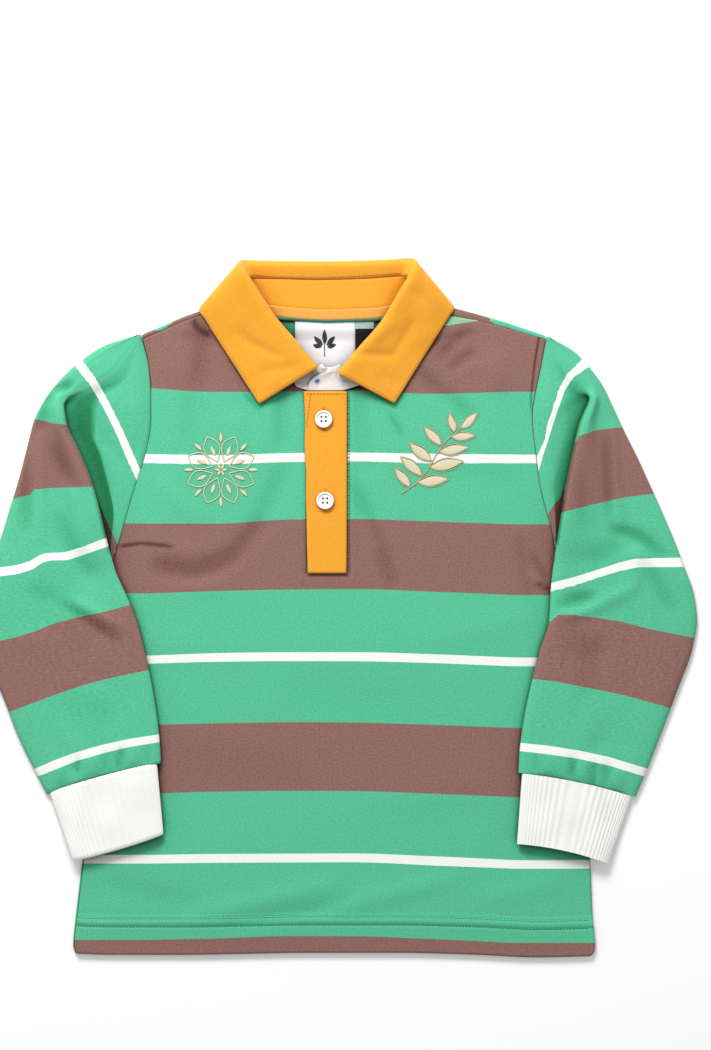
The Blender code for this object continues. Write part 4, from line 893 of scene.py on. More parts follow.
HOLLOW_RIGHT = [
    (150.0, [(520, 400), (560, 320)]),
    (106.5, [(536.6, 456.6), (545.1, 439.6), (546.5, 425.5), (552.1, 408.6), (557.8, 390.3),
           (566.2, 374.3), (580.3, 360.2)]),
    (101.5, [(539.5, 469.2), (544.5, 450.9), (550.7, 431.2), (558.3, 408.6), (564.8, 390.3),
           (573.8, 377.1), (588.2, 367.8)]),
    (59.0, [(549, 512), (553.5, 504.5), (565, 487), (580, 462), (600, 430)]),
    (13.0, [(540, 660), (600, 600)]),
]
LINES_LEFT = [
    (99.0, [(-20, 385), (160, 385)]), (59.0, [(36.1, 418.8), (42.3, 420.5), (53.5, 423.3), (67.1, 424.7)]),
    (13.0, [(13.5, 499.4), (22.5, 496.6), (32.2, 494.6), (33.6, 489.8), (50.7, 488.1), (70.5, 487.6),
           (93, 486.7)]),
    (-32.0, [(0, 567.3), (16.9, 565), (31, 560.8), (39.5, 555.2), (46.5, 553), (64.8, 552.4),
           (84.6, 546.2), (100.9, 539.7)]),
    (-37.5, [(0, 576.3), (16.9, 574.4), (33.8, 569.3), (42.3, 562.8), (50.7, 560.3), (67.6, 560.3),
           (87.4, 553.8), (103.4, 548.2)]),
    (-81.5, [(0, 641.1), (18.5, 636.4), (37.1, 630.6), (52.6, 624.1), (74.2, 617.9), (102, 612.3),
           (132.3, 604.3)]),
    (-128.5, [(10.8, 711.6), (30.9, 703.8), (55.6, 694.6), (80.4, 685.9), (105.1, 679.1), (129.8, 673.8),
           (149.3, 669.8)]),
    (-172.5, [(33.4, 769.4), (52.6, 760.7), (77.3, 751.7), (102, 744.6), (129.8, 738.5), (158.6, 734.1)]),
    (-178.0, [(37.7, 776.5), (55.6, 769.4), (77.3, 760.4), (102, 753.3), (129.8, 746.5), (159.2, 741.9)]),
    (-232.0, [(60, 850), (170, 826)]),
]
HOLLOW_LEFT = [
    (150.0, [(120, 320), (160, 400)]),
    (106.5, [(82.6, 360.2), (95.8, 377.6), (108.5, 400.2), (121.2, 425.5), (132.5, 450.9), (139.8, 467.8)]),
    (101.5, [(75.5, 367.2), (90.2, 385.5), (102.9, 407.2), (115.6, 432.6), (126.8, 459.4), (136.7, 480.5)]),
    (59.0, [(80, 465), (92, 488), (98, 500), (103.4, 511.5), (110, 527), (117, 543)]),
    (13.0, [(85, 620), (125, 660)]),
]


ORIGIN_COLUMN, ORIGIN_ROW = 336.0, 607.75


def table_place(column, row):
    """Millimetre place of a picture column and row."""
    return (column - ORIGIN_COLUMN) * PIXEL, (ORIGIN_ROW - row) * PIXEL


def ruler(lines, lean, x, y):
    """Ruler value at points, from lines that run roughly at an angle of lean degrees."""
    c, s = math.cos(math.radians(lean)), math.sin(math.radians(lean))
    along, up = x * c + y * s, y * c - x * s
    levels, values = [], []
    for value, spots in lines:
        places = np.array([table_place(*spot) for spot in spots])
        u, v = places[:, 0] * c + places[:, 1] * s, places[:, 1] * c - places[:, 0] * s
        order = np.argsort(u)
        u, v = u[order], v[order]
        level = np.interp(along, u, v)
        # Past its last spot a line runs on at the slope of its end, for 25 mm.
        first = max(-3, -len(u))
        tail = (v[-1] - v[first]) / (u[-1] - u[first])
        level = np.where(along > u[-1], v[-1] + tail * np.clip(along - u[-1], 0, 25), level)
        levels.append(level)
        values.append(value)
    if levels[0].mean() > levels[-1].mean():
        levels, values = levels[::-1], values[::-1]
    done = up <= levels[0]
    result = np.where(done, values[0], values[-1])
    for n in range(len(levels) - 1):
        t = np.clip((up - levels[n]) / np.maximum(levels[n + 1] - levels[n], 0.3), 0.0, 1.0)
        inside = ~done & (up < levels[n + 1])
        result = np.where(inside, mix(values[n], values[n + 1], t), result)
        done |= inside
    return result


# %% Creases of the sleeves
# One row for each: from one end to the other, half width, height. They move the upper layer,
# and the hollow beside it by half as much.
CREASES_LEFT = [
    (-197.5, 152.5, -184.0, 154.5, 4.5, -1.8), (-205.0, 141.5, -190.0, 137.0, 4.0, 1.0),
    (-205.8, 120.9, -205.8, 47.4, 3.1, 1.1), (-218.4, 106.9, -216.3, 54.4, 4.5, -1.1),
    (-196.7, 111.8, -181.3, 82.4, 5.4, -1.2), (-193.2, 61.4, -170.8, 22.9, 6.3, -1.0),
    (-186.2, 89.4, -172.2, 33.4, 5.4, 1.08), (-183.4, 4, -147, -15.6, 3.2, 2.16),
    (-189, 2.6, -151.2, -22.6, 3.6, -1.76), (-214.2, 12.4, -193.2, 5.4, 7.2, -0.68),
    (-194.6, 159.4, -191.8, 124.4, 4.5, 1.08), (-200.2, 148.9, -207.2, 124.4, 4.5, -1.08),
    (-221.2, -22.6, -193.2, -29.6, 9, 0.68), (-186.2, -57.6, -158.2, -78.6, 9, -0.54),
    (-172.2, -33.1, -144.2, -50.6, 8.1, 0.54), (-207.2, 33.4, -179.2, 22.9, 8.1, 0.54),
    (-179.9, -101, -181.3, -115, 2.2, -1.62), (-168.7, -102.4, -170.1, -117.8, 2.3, 1.35),
    (-150.5, -98.2, -151.2, -110.8, 2.2, -1.62), (-141.4, -98.2, -141.4, -109.4, 2.3, 1.08),
    (-193.2, -109.4, -193.2, -122, 2.3, 0.81), (-161, -101, -161, -113.6, 2.3, -0.81),
    (-131.6, -96.8, -130.9, -108, 2.3, -1.08),
]
CREASES_RIGHT = [
    (194.6, 127.9, 198.1, 57.9, 2.3, 1.49), (189, 117.4, 191.8, 61.4, 3.6, -0.94),
    (193.2, 55.1, 212.8, 49.5, 4.5, -1.76), (212.8, 49.5, 232.4, 33.4, 4.5, -1.76),
    (151.9, -8.6, 174.3, -3, 3.6, 2.29), (174.3, -3, 207.9, 13.8, 4, 1.62),
    (207.9, 13.8, 212.8, 41.8, 4.5, 1.35), (151.9, 1.2, 179.2, 8.2, 4, -1.89),
    (216.3, 33.4, 235.2, -1.6, 5.4, -0.94), (223.3, 40.4, 247.8, 12.4, 5.4, 0.81),
    (202.3, 39, 212.8, 32, 4.5, 0.81), (177.8, 33.4, 198.8, 43.9, 6.3, -0.68),
    (156.8, -22.6, 184.8, -29.6, 9, -0.68), (191.8, -36.6, 193.2, -78.6, 7.2, 0.54),
    (167.3, 96.4, 174.3, 54.4, 6.3, -0.68), (165.2, 117.4, 179.2, 145.4, 5.4, 0.68),
    (165.2, -104.5, 165.2, -118.5, 2.2, -1.62), (180.6, -108, 179.2, -123.4, 2.2, -1.62),
    (172.9, -106.6, 172.9, -119.2, 2.3, 1.22), (149.8, -103.8, 149.1, -115, 2.3, 0.81),
    (140, -103.8, 140, -113.6, 2.2, -0.81), (198.8, -113.6, 197.4, -126.2, 2.5, 0.94),
    (189.7, -110.8, 189, -123.4, 2.3, -0.81),
]


# %% Making a sleeve
# Painted shade for each cap row's hollow, shoulder to underarm: how much of the sky it is taken as cut off
# from.
SHADE_ROWS = (0.0, 0.0, 0.2, 0.5, 0.75, 0.9, 0.95, 0.95, 1.0, 1.0)
# And across a row, from the seam to below the lip. The left pleat's painted shade is darkest along its far
# side.
PLEAT_COLUMNS = (3.6, 3.8, 4.1, 4.35, 4.6, 4.85, 5.3, 7.0)
PLEAT_SHADE = {-1: (0.0, 0.8, 1.35, 1.1, 0.45, 0.15, 0.0, 0.0), 1: (0.0, 0.1, 0.4, 0.6, 0.85, 1.2, 1.0, 0.0)}


# Columns of a section: its lip, and where the upper layer ends at the outer fold.
LIP_COLUMN, EDGE_COLUMN = 7.5, 17.0


def sleeve_stripes(grid, along, column, cap_knots, hang, lines, hollow_lines, lean):
    """Ruler values of a sleeve. cap_knots are the distances of the cap's rows down the sleeve."""
    x, y = grid[..., 0], grid[..., 1]
    in_hollow = smooth(6.0 + 9.0 * (1.0 - hang) - column)
    shoulder = smooth((float(table_place(0, 383)[1]) - y) / -4.0)
    in_hollow = np.maximum(in_hollow, shoulder * (column < EDGE_COLUMN - 0.5))
    in_hollow *= smooth((cap_knots[-1] - along[:, None]) / 6.0)
    stripe = mix(ruler(lines, 0.0, x, y), ruler(hollow_lines, lean, x, y), in_hollow)
    # Below, the colour runs on from the outer fold, and down the arm it meets the upper layer's again.
    share = np.clip((column[0] - EDGE_COLUMN) / (column[0][-1] - EDGE_COLUMN), 0.0, 1.0)
    edge = stripe[:, int(np.searchsorted(column[0], EDGE_COLUMN))]
    seam = np.where(along < cap_knots[-3], edge, stripe[:, 0])
    return np.where(column > EDGE_COLUMN, mix(edge[:, None], seam[:, None], share[None, :]), stripe)


def sleeve_shade(along, column, cap_knots, ring_from, side):
    """How far each point of a sleeve's hollow is cut off from the light, as painted shade for its colour."""
    deep = np.interp(along, cap_knots[:-1], SHADE_ROWS)[:, None]
    pleat_shade = np.interp(column, PLEAT_COLUMNS, PLEAT_SHADE[side])
    pocket_shade = 1.3 * smooth((column - 3.2) / 0.8) * smooth((7.0 - column) / 0.8)
    low_down = smooth((along - cap_knots[-4]) / (cap_knots[-2] - cap_knots[-4]))[:, None]
    shade = mix(pleat_shade, pocket_shade, low_down) * deep
    return shade * smooth((ring_from + 4 - np.arange(len(along))[:, None]) / 3.0)


def sleeve(name, caps, arms, side, lines, hollow_lines, lean, creases):
    sections = [cap_section(row, side, 1.0 if n == len(caps) - 1 else 0.0) for n, row in enumerate(caps)]
    sections[-1][-1] = sections[-1][0]
    sections += [arm_section(row, side) for row in arms]
    grid, (row_knots, along), (column_knots, across) = refine(sections, (2.6, 2.4))
    ring_from = int(np.searchsorted(along, row_knots[len(caps) - 1] - 1e-6))
    grid[ring_from:, -1] = grid[ring_from:, 0]
    rows = np.arange(len(along))[:, None]
    column = np.interp(across, column_knots, np.arange(len(column_knots)))[None, :]
    top_share = smooth((column - LIP_COLUMN) / 1.5) * smooth((15.6 - column) / 1.4)
    hollow_share = smooth(column / 0.8) * smooth((5.2 - column) / 1.0) * smooth((ring_from - rows) / 6.0)
    lift = fold_height(grid[..., 0], grid[..., 1], creases)
    grid[..., 2] += lift * top_share + 0.5 * lift * hollow_share
    hem_near = smooth(1.0 - (row_knots[-1] - along) / 5.0)[:, None]
    grid[..., 2] -= top_share * 0.5 * hem_near
    cap_knots = row_knots[:len(caps) + 1]
    hang = np.interp(along, cap_knots[:-1], [row[-1] for row in caps])[:, None]
    stripe = sleeve_stripes(grid, along, column, cap_knots, hang, lines, hollow_lines, lean)
    shade = sleeve_shade(along, column, cap_knots, ring_from, side)
    # Crease troughs on the upper layer get painted shade too.
    shade = np.maximum(shade, 0.2 * np.clip(-lift, 0.0, 2.0) * top_share)
    normal = surface_normals(grid, ring_from)
    middle = normal[len(along) * 3 // 4, int(np.searchsorted(column[0], 11.0))]
    normal *= 1.0 if middle[2] > 0 else -1.0
    uv = np.dstack([np.broadcast_to(across, grid.shape[:2]), np.broadcast_to(along[:, None], grid.shape[:2])])
    # The wall thins towards the shoulder point, where the section is too small for a full one.
    wall = CLOTH * mix(0.25, 1.0, smooth(along / 12.0))[:, None, None]
    made = shell(name, grid, grid - normal * wall, uv, jersey, stripe=stripe, ring_from=ring_from,
                 shade=shade)
    print(name, grid.shape, "lip at", round(float(grid[..., 2].max()), 1), "mm")
    return made


sleeve_left = sleeve("sleeve_left_cloth", CAP_LEFT, ARM_LEFT, -1, LINES_LEFT, HOLLOW_LEFT, -62.0,
                     CREASES_LEFT)
sleeve_right = sleeve("sleeve_right_cloth", CAP_RIGHT, ARM_RIGHT, 1, LINES_RIGHT, HOLLOW_RIGHT, 64.0,
                      CREASES_RIGHT)

# %% [markdown]
# ## The ribbed cuffs
# A cuff is a tube of one-by-one rib. Its ribs are real form, so they are waves in the
# outer points of the wall over a plain inside. A bump alone would leave the lower edge
# straight, and that edge is scalloped by the ribs.

# %% Cuffs
CUFF_FOLD, RIBS, CUFF_INSET = 5.4, 56, 2.6
CUFF_LEFT = ((-120.5, -157.5), (-152.5, -168.5), (-184.0, -176.2))
CUFF_RIGHT = ((126.5, -165.0), (158.5, -169.5), (190.5, -178.8))


def cuff(name, arm, opening, side):
    top = ((arm[0], arm[1]), (arm[2], arm[3]), (arm[4], arm[5]))
    share = CUFF_INSET / math.dist(top[0], top[2])
    ends = [np.array(arc_point(*top, t)) for t in (share, 0.5, 1.0 - share)]
    lows = [np.array(point) for point in opening]
    ends = [end + (low - end) / np.linalg.norm(low - end) * 0.2 for end, low in zip(ends, lows)]
    steps, levels = RIBS * 8, np.linspace(0.0, 1.0, 22)
    turn = 2 * np.pi * np.arange(steps + 1) / steps
    across = 0.5 - 0.5 * np.sign(np.cos(turn)) * np.abs(np.cos(turn)) ** 0.72
    rib = 0.5 + 0.5 * np.cos(turn * RIBS)
    face, lining = [], []
    for level in levels:
        line = [mix(end, low, level) for end, low in zip(ends, lows)]
        width = np.linalg.norm(line[2] - line[0])
        ripple = 0.25 * math.sin(level * 9.0 + side) * np.sin(across * 9.0)
        for out, depth, rise in ((face, 0.0, 0.36), (lining, RIB_CLOTH, 0.0)):
            reach = depth / width + (1 - 2 * depth / width) * across
            spots = np.array([arc_point(*line, t) for t in reach])
            edge = np.abs(2 * across - 1) ** 10
            half = (CUFF_FOLD / 2 - depth - rise * (1 - rib) * (1 - 0.5 * (level > 0.97)))
            half = half * np.sqrt(np.clip(1 - edge, 0.0, 1.0))
            base = np.array([sleeve_base(side, *spot) for spot in spots[::8]])
            base = np.interp(np.arange(steps + 1), np.arange(0, steps + 1, 8), base)
            upper = np.where(turn <= np.pi, 1.0, -1.0)
            z = base + CUFF_FOLD / 2 + half * upper + ripple * (upper > 0)
            out.append(np.column_stack([spots, z]))
    face, lining = np.array(face), np.array(lining)
    uv = np.dstack([np.broadcast_to(turn * 22.0, face.shape[:2]),
                    np.broadcast_to(levels[:, None] * 50, face.shape[:2])])
    return shell(name, face, lining, uv, rib_knit, ring_from=0)


cuff_left = cuff("cuff_left_cloth", ARM_LEFT[-1], CUFF_LEFT, -1)
cuff_right = cuff("cuff_right_cloth", ARM_RIGHT[-1], CUFF_RIGHT, 1)
print("cuffs:", len(cuff_left.data.polygons), "faces each")

# %% [markdown]
# ## The collar
# The collar is a leaf that folds over a stand. The leaf is drawn from its seam, over the
# roll and down to its fall edge, and its two points stand a little off the chest. Twill
# is stiffer than jersey, so its folds are few, broad and shallow.

# %% Collar tables
# fall x y, roll x y, seam x y, neck x y, and 1 where the leaf lies under the back
COLLAR = [
    (-53.6, 143.3, -12.1, 169.0, -15.6, 166.8, -23.0, 156.0, 0.0),
    (-58.5, 150.9, -19.5, 177.6, -22.9, 175.3, -35.0, 163.6, 0.0),
    (-64.0, 159.4, -27.5, 187.0, -30.8, 184.6, -45.0, 170.0, 0.0),
    (-74.3, 175.5, -41.7, 203.5, -44.8, 201.0, -57.5, 181.0, 0.0),
    (-84.6, 191.6, -54.2, 222.3, -56.8, 219.2, -67.0, 194.0, 0.0),
    (-91.5, 202.6, -62.3, 234.8, -62.2, 228.8, -72.5, 204.0, 0.0),
    (-95.2, 208.2, -66.6, 241.4, -62.2, 232.6, -75.2, 211.5, 0.2),
    (-92.6, 211.8, -66.0, 242.9, -59.5, 231.6, -75.5, 215.5, 0.6),
    (-89.0, 212.2, -61.5, 243.1, -56.0, 231.0, -69.5, 211.4, 0.96),
    (-80.0, 203.6, -52.0, 243.0, -48.5, 230.8, -56.5, 206.8, 1.0),
    (-44.0, 200.2, -36.0, 242.7, -34.0, 230.6, -38.0, 203.8, 1.0),
    (-7.0, 198.8, -7.0, 242.5, -7.0, 230.2, -7.0, 202.0, 1.0),
    (32.0, 200.2, 26.0, 243.3, 25.0, 231.2, 27.0, 203.0, 1.0),
    (66.0, 204.4, 41.5, 244.0, 38.0, 232.2, 46.5, 206.0, 1.0),
    (76.0, 214.4, 49.5, 244.4, 44.5, 232.6, 57.5, 211.4, 0.96),
    (79.2, 213.6, 54.0, 244.0, 48.0, 232.6, 63.0, 216.5, 0.6),
    (82.2, 209.4, 54.8, 241.8, 50.0, 233.0, 63.2, 212.0, 0.2),
    (79.2, 204.6, 52.0, 235.0, 51.2, 228.2, 61.0, 204.0, 0.0),
    (72.0, 193.2, 44.0, 221.4, 46.6, 218.2, 57.5, 195.0, 0.0),
    (61.6, 176.8, 31.2, 200.2, 34.2, 197.6, 48.0, 178.0, 0.0),
    (51.2, 160.2, 15.9, 182.6, 19.2, 180.2, 34.0, 164.0, 0.0),
    (46.0, 151.9, 8.3, 173.8, 11.7, 171.7, 23.0, 157.2, 0.0),
    (40.8, 143.6, 0.7, 165.0, 4.3, 163.2, 12.0, 154.0, 0.0),
]
# share of the way from the roll to the fall edge, height over the front, height under the back
LEAF = {"seam": (None, 8.0, 3.7), "puff": (None, 8.4, 5.0), "roll": (0.02, 10.0, 3.5),
        "turn": (0.08, 11.8, 1.1), "slope": (0.35, 9.8, 0.75), "flat": (0.7, 7.3, 0.75)}
TIP_LIFT, FALL_UNDER, NECK_UNDER, TAPE_WIDTH, NECK_TAPE = 0.9, 0.75, 3.4, 6.6, (9, 13)
LEAF_FOLDS = [
    (-70.0, 194.4, -51.8, 179.0, 4, -0.7), (-63.7, 187.4, -37.8, 174.8, 3.2, -0.8),
    (-51.8, 165.0, -26.6, 169.2, 3.5, -0.7), (-74.2, 179.0, -60.2, 160.8, 5, 0.6),
    (-47.6, 155.2, -39.2, 160.8, 4, 0.5), (14.0, 177.6, 39.9, 176.2, 3.4, -1.0),
    (39.9, 176.2, 54.6, 201.4, 3.6, -0.9), (25.2, 187.4, 42.0, 200.0, 4, 0.7),
    (30.8, 162.9, 44.8, 155.9, 4, -0.5), (55.3, 183.9, 67.2, 194.4, 5, 0.5),
    (51.8, 222.4, 62.3, 215.4, 4, -0.5),
]


# %% Collar leaf and stand
def collar_rise(row):
    return float(neck_rise(row[0], min(row[1], row[3]))) * (1.0 - row[8])


def leaf_section(row, lift):
    fall, roll, seam, wrap = row[0:2], row[2:4], row[4:6], row[8]
    section = []
    for key, (reach, over, under) in LEAF.items():
        if key == "seam":
            spot = seam
        elif key == "puff":
            spot = (mix(roll[0], seam[0], 0.32), mix(roll[1], seam[1], 0.32))
        else:
            spot = (mix(roll[0], fall[0], reach), mix(roll[1], fall[1], reach))
        section.append((*spot, mix(over, under, wrap) + lift * (reach or 0.0) + collar_rise(row)))
    over = float(front_top(*fall)) + GAP + TWILL / 2 + 0.25 + lift
    section.append((*fall, mix(over, FALL_UNDER, wrap)))
    return section


def stand_section(row):
    start = toward(row[4:6], row[6:8], 0.9)
    high = mix(LEAF["seam"][1], LEAF["seam"][2], row[8]) + collar_rise(row) - 0.5
    neck = row[6:8]
    low = mix(float(front_top(*neck)) + GAP + STAND / 2 + 0.1, NECK_UNDER, row[8])
    return [(mix(start[0], neck[0], t), mix(start[1], neck[1], t), mix(high, low, t))
            for t in (0.0, 0.4, 0.75, 1.0)]


def laid_sheet(name, sections, spacing, thickness, finish, folds=(), rim=0.42):
    """A wall of cloth laid evenly on both sides of the surface through the sections."""
    grid, (_, along), (_, across) = refine(sections, spacing)
    if folds:
        high = smooth((grid[..., 2] - 4.0) / 2.0)
        grid[..., 2] += fold_height(grid[..., 0], grid[..., 1], folds) * high
    normal = surface_normals(grid) * thickness / 2
    uv = np.dstack([np.broadcast_to(along[:, None], grid.shape[:2]), np.broadcast_to(across, grid.shape[:2])])
    return shell(name, grid + normal, grid - normal, uv, finish, rim=rim)


lifts = [TIP_LIFT * float(smooth(1.0 - min(n, len(COLLAR) - 1 - n) / 3.0)) for n in range(len(COLLAR))]
leaf_sections = [leaf_section(row, lift) for row, lift in zip(COLLAR, lifts)]
collar_leaf = laid_sheet("collar_leaf_cloth", leaf_sections, (1.8, 1.6), TWILL, twill, LEAF_FOLDS)
stand_sections = [stand_section(row) for row in COLLAR[1:-1]]
collar_stand = laid_sheet("collar_stand_cloth", stand_sections, (2.0, 1.8), STAND, twill)
print("collar:", len(collar_leaf.data.polygons), len(collar_stand.data.polygons))

# %% Neck tape
tape_sections = []
for row in COLLAR[NECK_TAPE[0]:NECK_TAPE[1] + 1]:
    section = stand_section(row)
    low, high = Vector(section[-1]), Vector(section[0])
    up = (high - low).normalized()
    lift = Vector((0.0, 0.0, STAND / 2 + GAP + TAPE / 2 + 0.1))
    tape_sections.append([tuple(low + up * reach + lift) for reach in (TAPE_WIDTH, TAPE_WIDTH / 2, -0.4)])
neck_tape = laid_sheet("neck_tape_cloth", tape_sections, (1.5, 1.1), TAPE, tape_cotton)

# %% [markdown]
# ## The placket, the facing and the labels
# The placket is a band of twill over the cut in the front. Its edges are turned, and a
# narrow slip of the lower band shows beside its top. The facing curls up between the
# collar's ends. The labels are satin, the neck label white and the size tag black.

# %% Placket band
PLACKET_BAND = [
    (24.5, -19.5, 7.0), (30.0, -19.6, 7.1), (45.0, -20.0, 7.2), (65.0, -20.4, 7.3), (85.0, -20.8, 7.4),
    (105.0, -21.2, 7.4), (125.0, -21.6, 7.5), (140.0, -21.9, 7.5), (151.2, -22.0, 7.5),
]
band_y = stations([row[0] for row in PLACKET_BAND], 1.6)
band = np.array(PLACKET_BAND)
left, right = glide(band[:, 1], band[:, 0], band_y), glide(band[:, 2], band[:, 0], band_y)
left = left + 0.35 * np.sin(band_y / 6.5) * smooth((band_y - 60.0) / 40.0)
shares = np.array([0.0, 0.02, 0.05, 0.09, 0.14, 0.22, 0.32, 0.42, 0.5, 0.58, 0.68,
                   0.78, 0.86, 0.91, 0.95, 0.98, 1.0])
x = mix(left[:, None], right[:, None], shares[None, :])
y = np.repeat(band_y[:, None], len(shares), 1)
BUTTONS = ((-8.6, 132.0), (-7.6, 75.0))
band_top = front_top(x, y) + GAP + PLACKET
band_top -= 0.35 * (1 - smooth(np.minimum(x - left[:, None], right[:, None] - x) / 1.1))
for bx, by in BUTTONS:
    band_top -= 0.3 * np.exp(-(np.hypot(x - bx, (y - by) * 0.8) / 9.0) ** 2)
band_top += 0.3 * np.exp(-((y - 106.0) / 14.0) ** 2) * np.sin(shares * np.pi)[None, :]
placket_band = shell("placket_band_cloth", np.dstack([x, y, band_top]),
                     np.dstack([x, y, front_top(x, y) + GAP - 0.1]), np.dstack([x, y]), twill, rim=0.3)

# %% The band behind
# The under band fills the cut in the front. Only its edge shows, but it carries the buttons.
under_y = stations([32.5, 151.2], 2.4)
x = np.linspace(SLOT[0] + GAP + 0.1, SLOT[1] - GAP - 0.1, 12)[None, :] * np.ones((len(under_y), 1))
y = np.repeat(under_y[:, None], 12, 1)
placket_under = shell("placket_under_cloth", np.dstack([x, y, front_top(x, y) - 0.05]),
                      np.dstack([x, y, front_top(x, y) - CLOTH]), np.dstack([x, y]), twill)

# %% Facing
# Each row runs over the left tab, up to the flap's rolled edge, and down to the right end.
FACING = [
    [(-19.3, 152.2, 4.3), (-19.0, 152.2, 4.6), (-18.0, 152.2, 5.2), (-8.0, 152.2, 5.0), (-1.0, 152.2, 4.8),
     (5.0, 152.2, 4.5)],
    [(-27.5, 155.2, 4.3), (-19.8, 154.4, 4.4), (-18.6, 154.8, 5.8), (-7.0, 154.5, 5.2), (2.0, 154.5, 4.9),
     (12.5, 154.8, 4.5)],
    [(-29.0, 158.0, 3.9), (-19.2, 157.4, 4.1), (-17.6, 157.9, 6.3), (-6.0, 157.2, 5.2), (4.0, 157.0, 5.2),
     (17.0, 156.6, 4.6)],
    [(-26.5, 161.5, 4.0), (-17.4, 160.2, 4.2), (-15.2, 161.0, 6.8), (-4.0, 160.0, 5.4), (4.0, 160.2, 5.4),
     (14.5, 160.0, 5.0)],
    [(-22.0, 165.0, 4.1), (-12.7, 162.0, 4.4), (-10.2, 163.4, 7.0), (-2.0, 162.8, 5.8), (3.0, 163.4, 5.8),
     (10.0, 163.6, 5.6)],
    [(-14.5, 167.6, 4.6), (-8.2, 164.4, 5.0), (-5.0, 165.4, 7.0), (0.0, 165.6, 6.2), (2.6, 166.4, 6.2),
     (5.5, 167.2, 6.2)],
    [(-10.0, 170.2, 5.2), (-7.0, 167.8, 6.2), (-4.0, 168.0, 6.8), (-1.0, 168.4, 6.4), (0.6, 169.0, 6.4),
     (2.5, 169.8, 6.5)],
]
FACING_FOLDS = [
    (0.5, 165.0, 2.5, 154.0, 0.9, -0.7), (2.2, 161.0, 6.5, 154.5, 0.9, -0.6),
    (4.5, 160.5, 12.0, 157.0, 0.9, -0.5), (-4.0, 160.0, 4.0, 153.5, 0.8, -0.35),
    (-13.0, 153.0, -11.0, 157.0, 1.6, -0.4), (-10.5, 167.5, -6.0, 168.5, 1.2, 0.8),
    (-24.0, 158.0, -19.5, 162.5, 1.0, -0.4),
]
facing = laid_sheet("placket_facing_cloth", FACING, (0.8, 0.7), 0.8, facing_cotton, FACING_FOLDS)

# %% Labels
LABEL_BOX, TAG_BOX = (-28.5, 159.0, 13.3, 200.2), (13.8, 179.0, 26.5, 200.2)


def label(name, box, finish):
    x = np.linspace(box[0], box[2], 26)[None, :] * np.ones((60, 1))
    y = np.linspace(box[1], box[3], 60)[:, None] * np.ones((1, 26))
    top = CLOTH + GAP + 0.15 + LABEL + neck_rise(x, y) + 0.22 * np.sin(x / 7.0) * smooth((198.0 - y) / 14.0)
    return shell(name, np.dstack([x, y, top]), np.dstack([x, y, top - LABEL]), np.dstack([x, y]), finish,
                 stripe=y)


neck_label = label("neck_label_cloth", LABEL_BOX, satin)
size_tag = label("size_tag_cloth", TAG_BOX, black_satin)
print("labels and placket made")

# %% [markdown]
# ## Sewing and embroidery
# Seen this close, sewing is what tells cloth from a cut-out. Every stitch is one short
# rounded rod laid on the finished cloth. A row of them makes a seam, rods side by side
# make a satin stitch, and rods that overlap make a stem stitch. Hundreds are joined in
# one mesh, so each has few faces.

# %% Reading the height of a finished piece
from mathutils.bvhtree import BVHTree


def surface_of(*pieces):
    """A height over the table, read by dropping a line on pieces. None where there is no cloth."""
    trees = [BVHTree.FromPolygons([v.co for v in piece.data.vertices],
                                  [p.vertices for p in piece.data.polygons]) for piece in pieces]

    def height(x, y):
        hits = [tree.ray_cast(Vector((x * MM, y * MM, 0.1)), Vector((0.0, 0.0, -1.0)))[0] for tree in trees]
        found = [hit.z / MM for hit in hits if hit is not None]
        return max(found) if found else None
    return height


# %% Rods of thread
def thread_finish(name, colour, roughness=0.6):
    made = bpy.data.materials.new(name)
    made.use_nodes = True
    shader = made.node_tree.nodes["Principled BSDF"]
    shader.inputs["Base Color"].default_value = (*colour, 1.0)
    shader.inputs["Roughness"].default_value = roughness
    shader.inputs["Sheen Weight"].default_value = 0.2
    return made


def stitches(name, rods, finish, flat=0.75, sides=6):
    """One mesh of rods. Each rod is (x0, y0, z0, x1, y1, z1, radius), in millimetres."""
    rods = np.array(rods, float)
    a, b, radius = rods[:, 0:3], rods[:, 3:6], rods[:, 6]
    axis = b - a
    axis /= np.linalg.norm(axis, axis=1, keepdims=True) + 1e-9
    side = np.cross(axis, (0.0, 0.0, 1.0))
    side /= np.linalg.norm(side, axis=1, keepdims=True) + 1e-9
    up = np.cross(side, axis)
    turn = 2 * np.pi * np.arange(sides) / sides
    rings = []
    for share, wide in ((0.0, 0.45), (0.16, 1.0), (0.84, 1.0), (1.0, 0.45)):
        centre = a + (b - a) * share
        round_it = (side[:, None] * np.cos(turn)[None, :, None]
                    + flat * up[:, None] * np.sin(turn)[None, :, None])
        rings.append(centre[:, None] + radius[:, None, None] * wide * round_it)
    points = np.stack(rings, 1).reshape(-1, 3)
    each = []
    for ring in range(3):
        for k in range(sides):
            p, q = ring * sides + k, ring * sides + (k + 1) % sides
            each.append([p, q, q + sides, p + sides])
    ends = [list(range(sides))[::-1], [3 * sides + k for k in range(sides)]]
    faces = []
    for n in range(len(rods)):
        shift = n * 4 * sides
        faces += [[v + shift for v in face] for face in each + ends]
    mesh = bpy.data.meshes.new(name)
    mesh.from_pydata((points * MM).tolist(), [], faces)
    mesh.materials.append(finish)
    made = place_piece(name, mesh, 70.0)
    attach(made, "root")
    return made


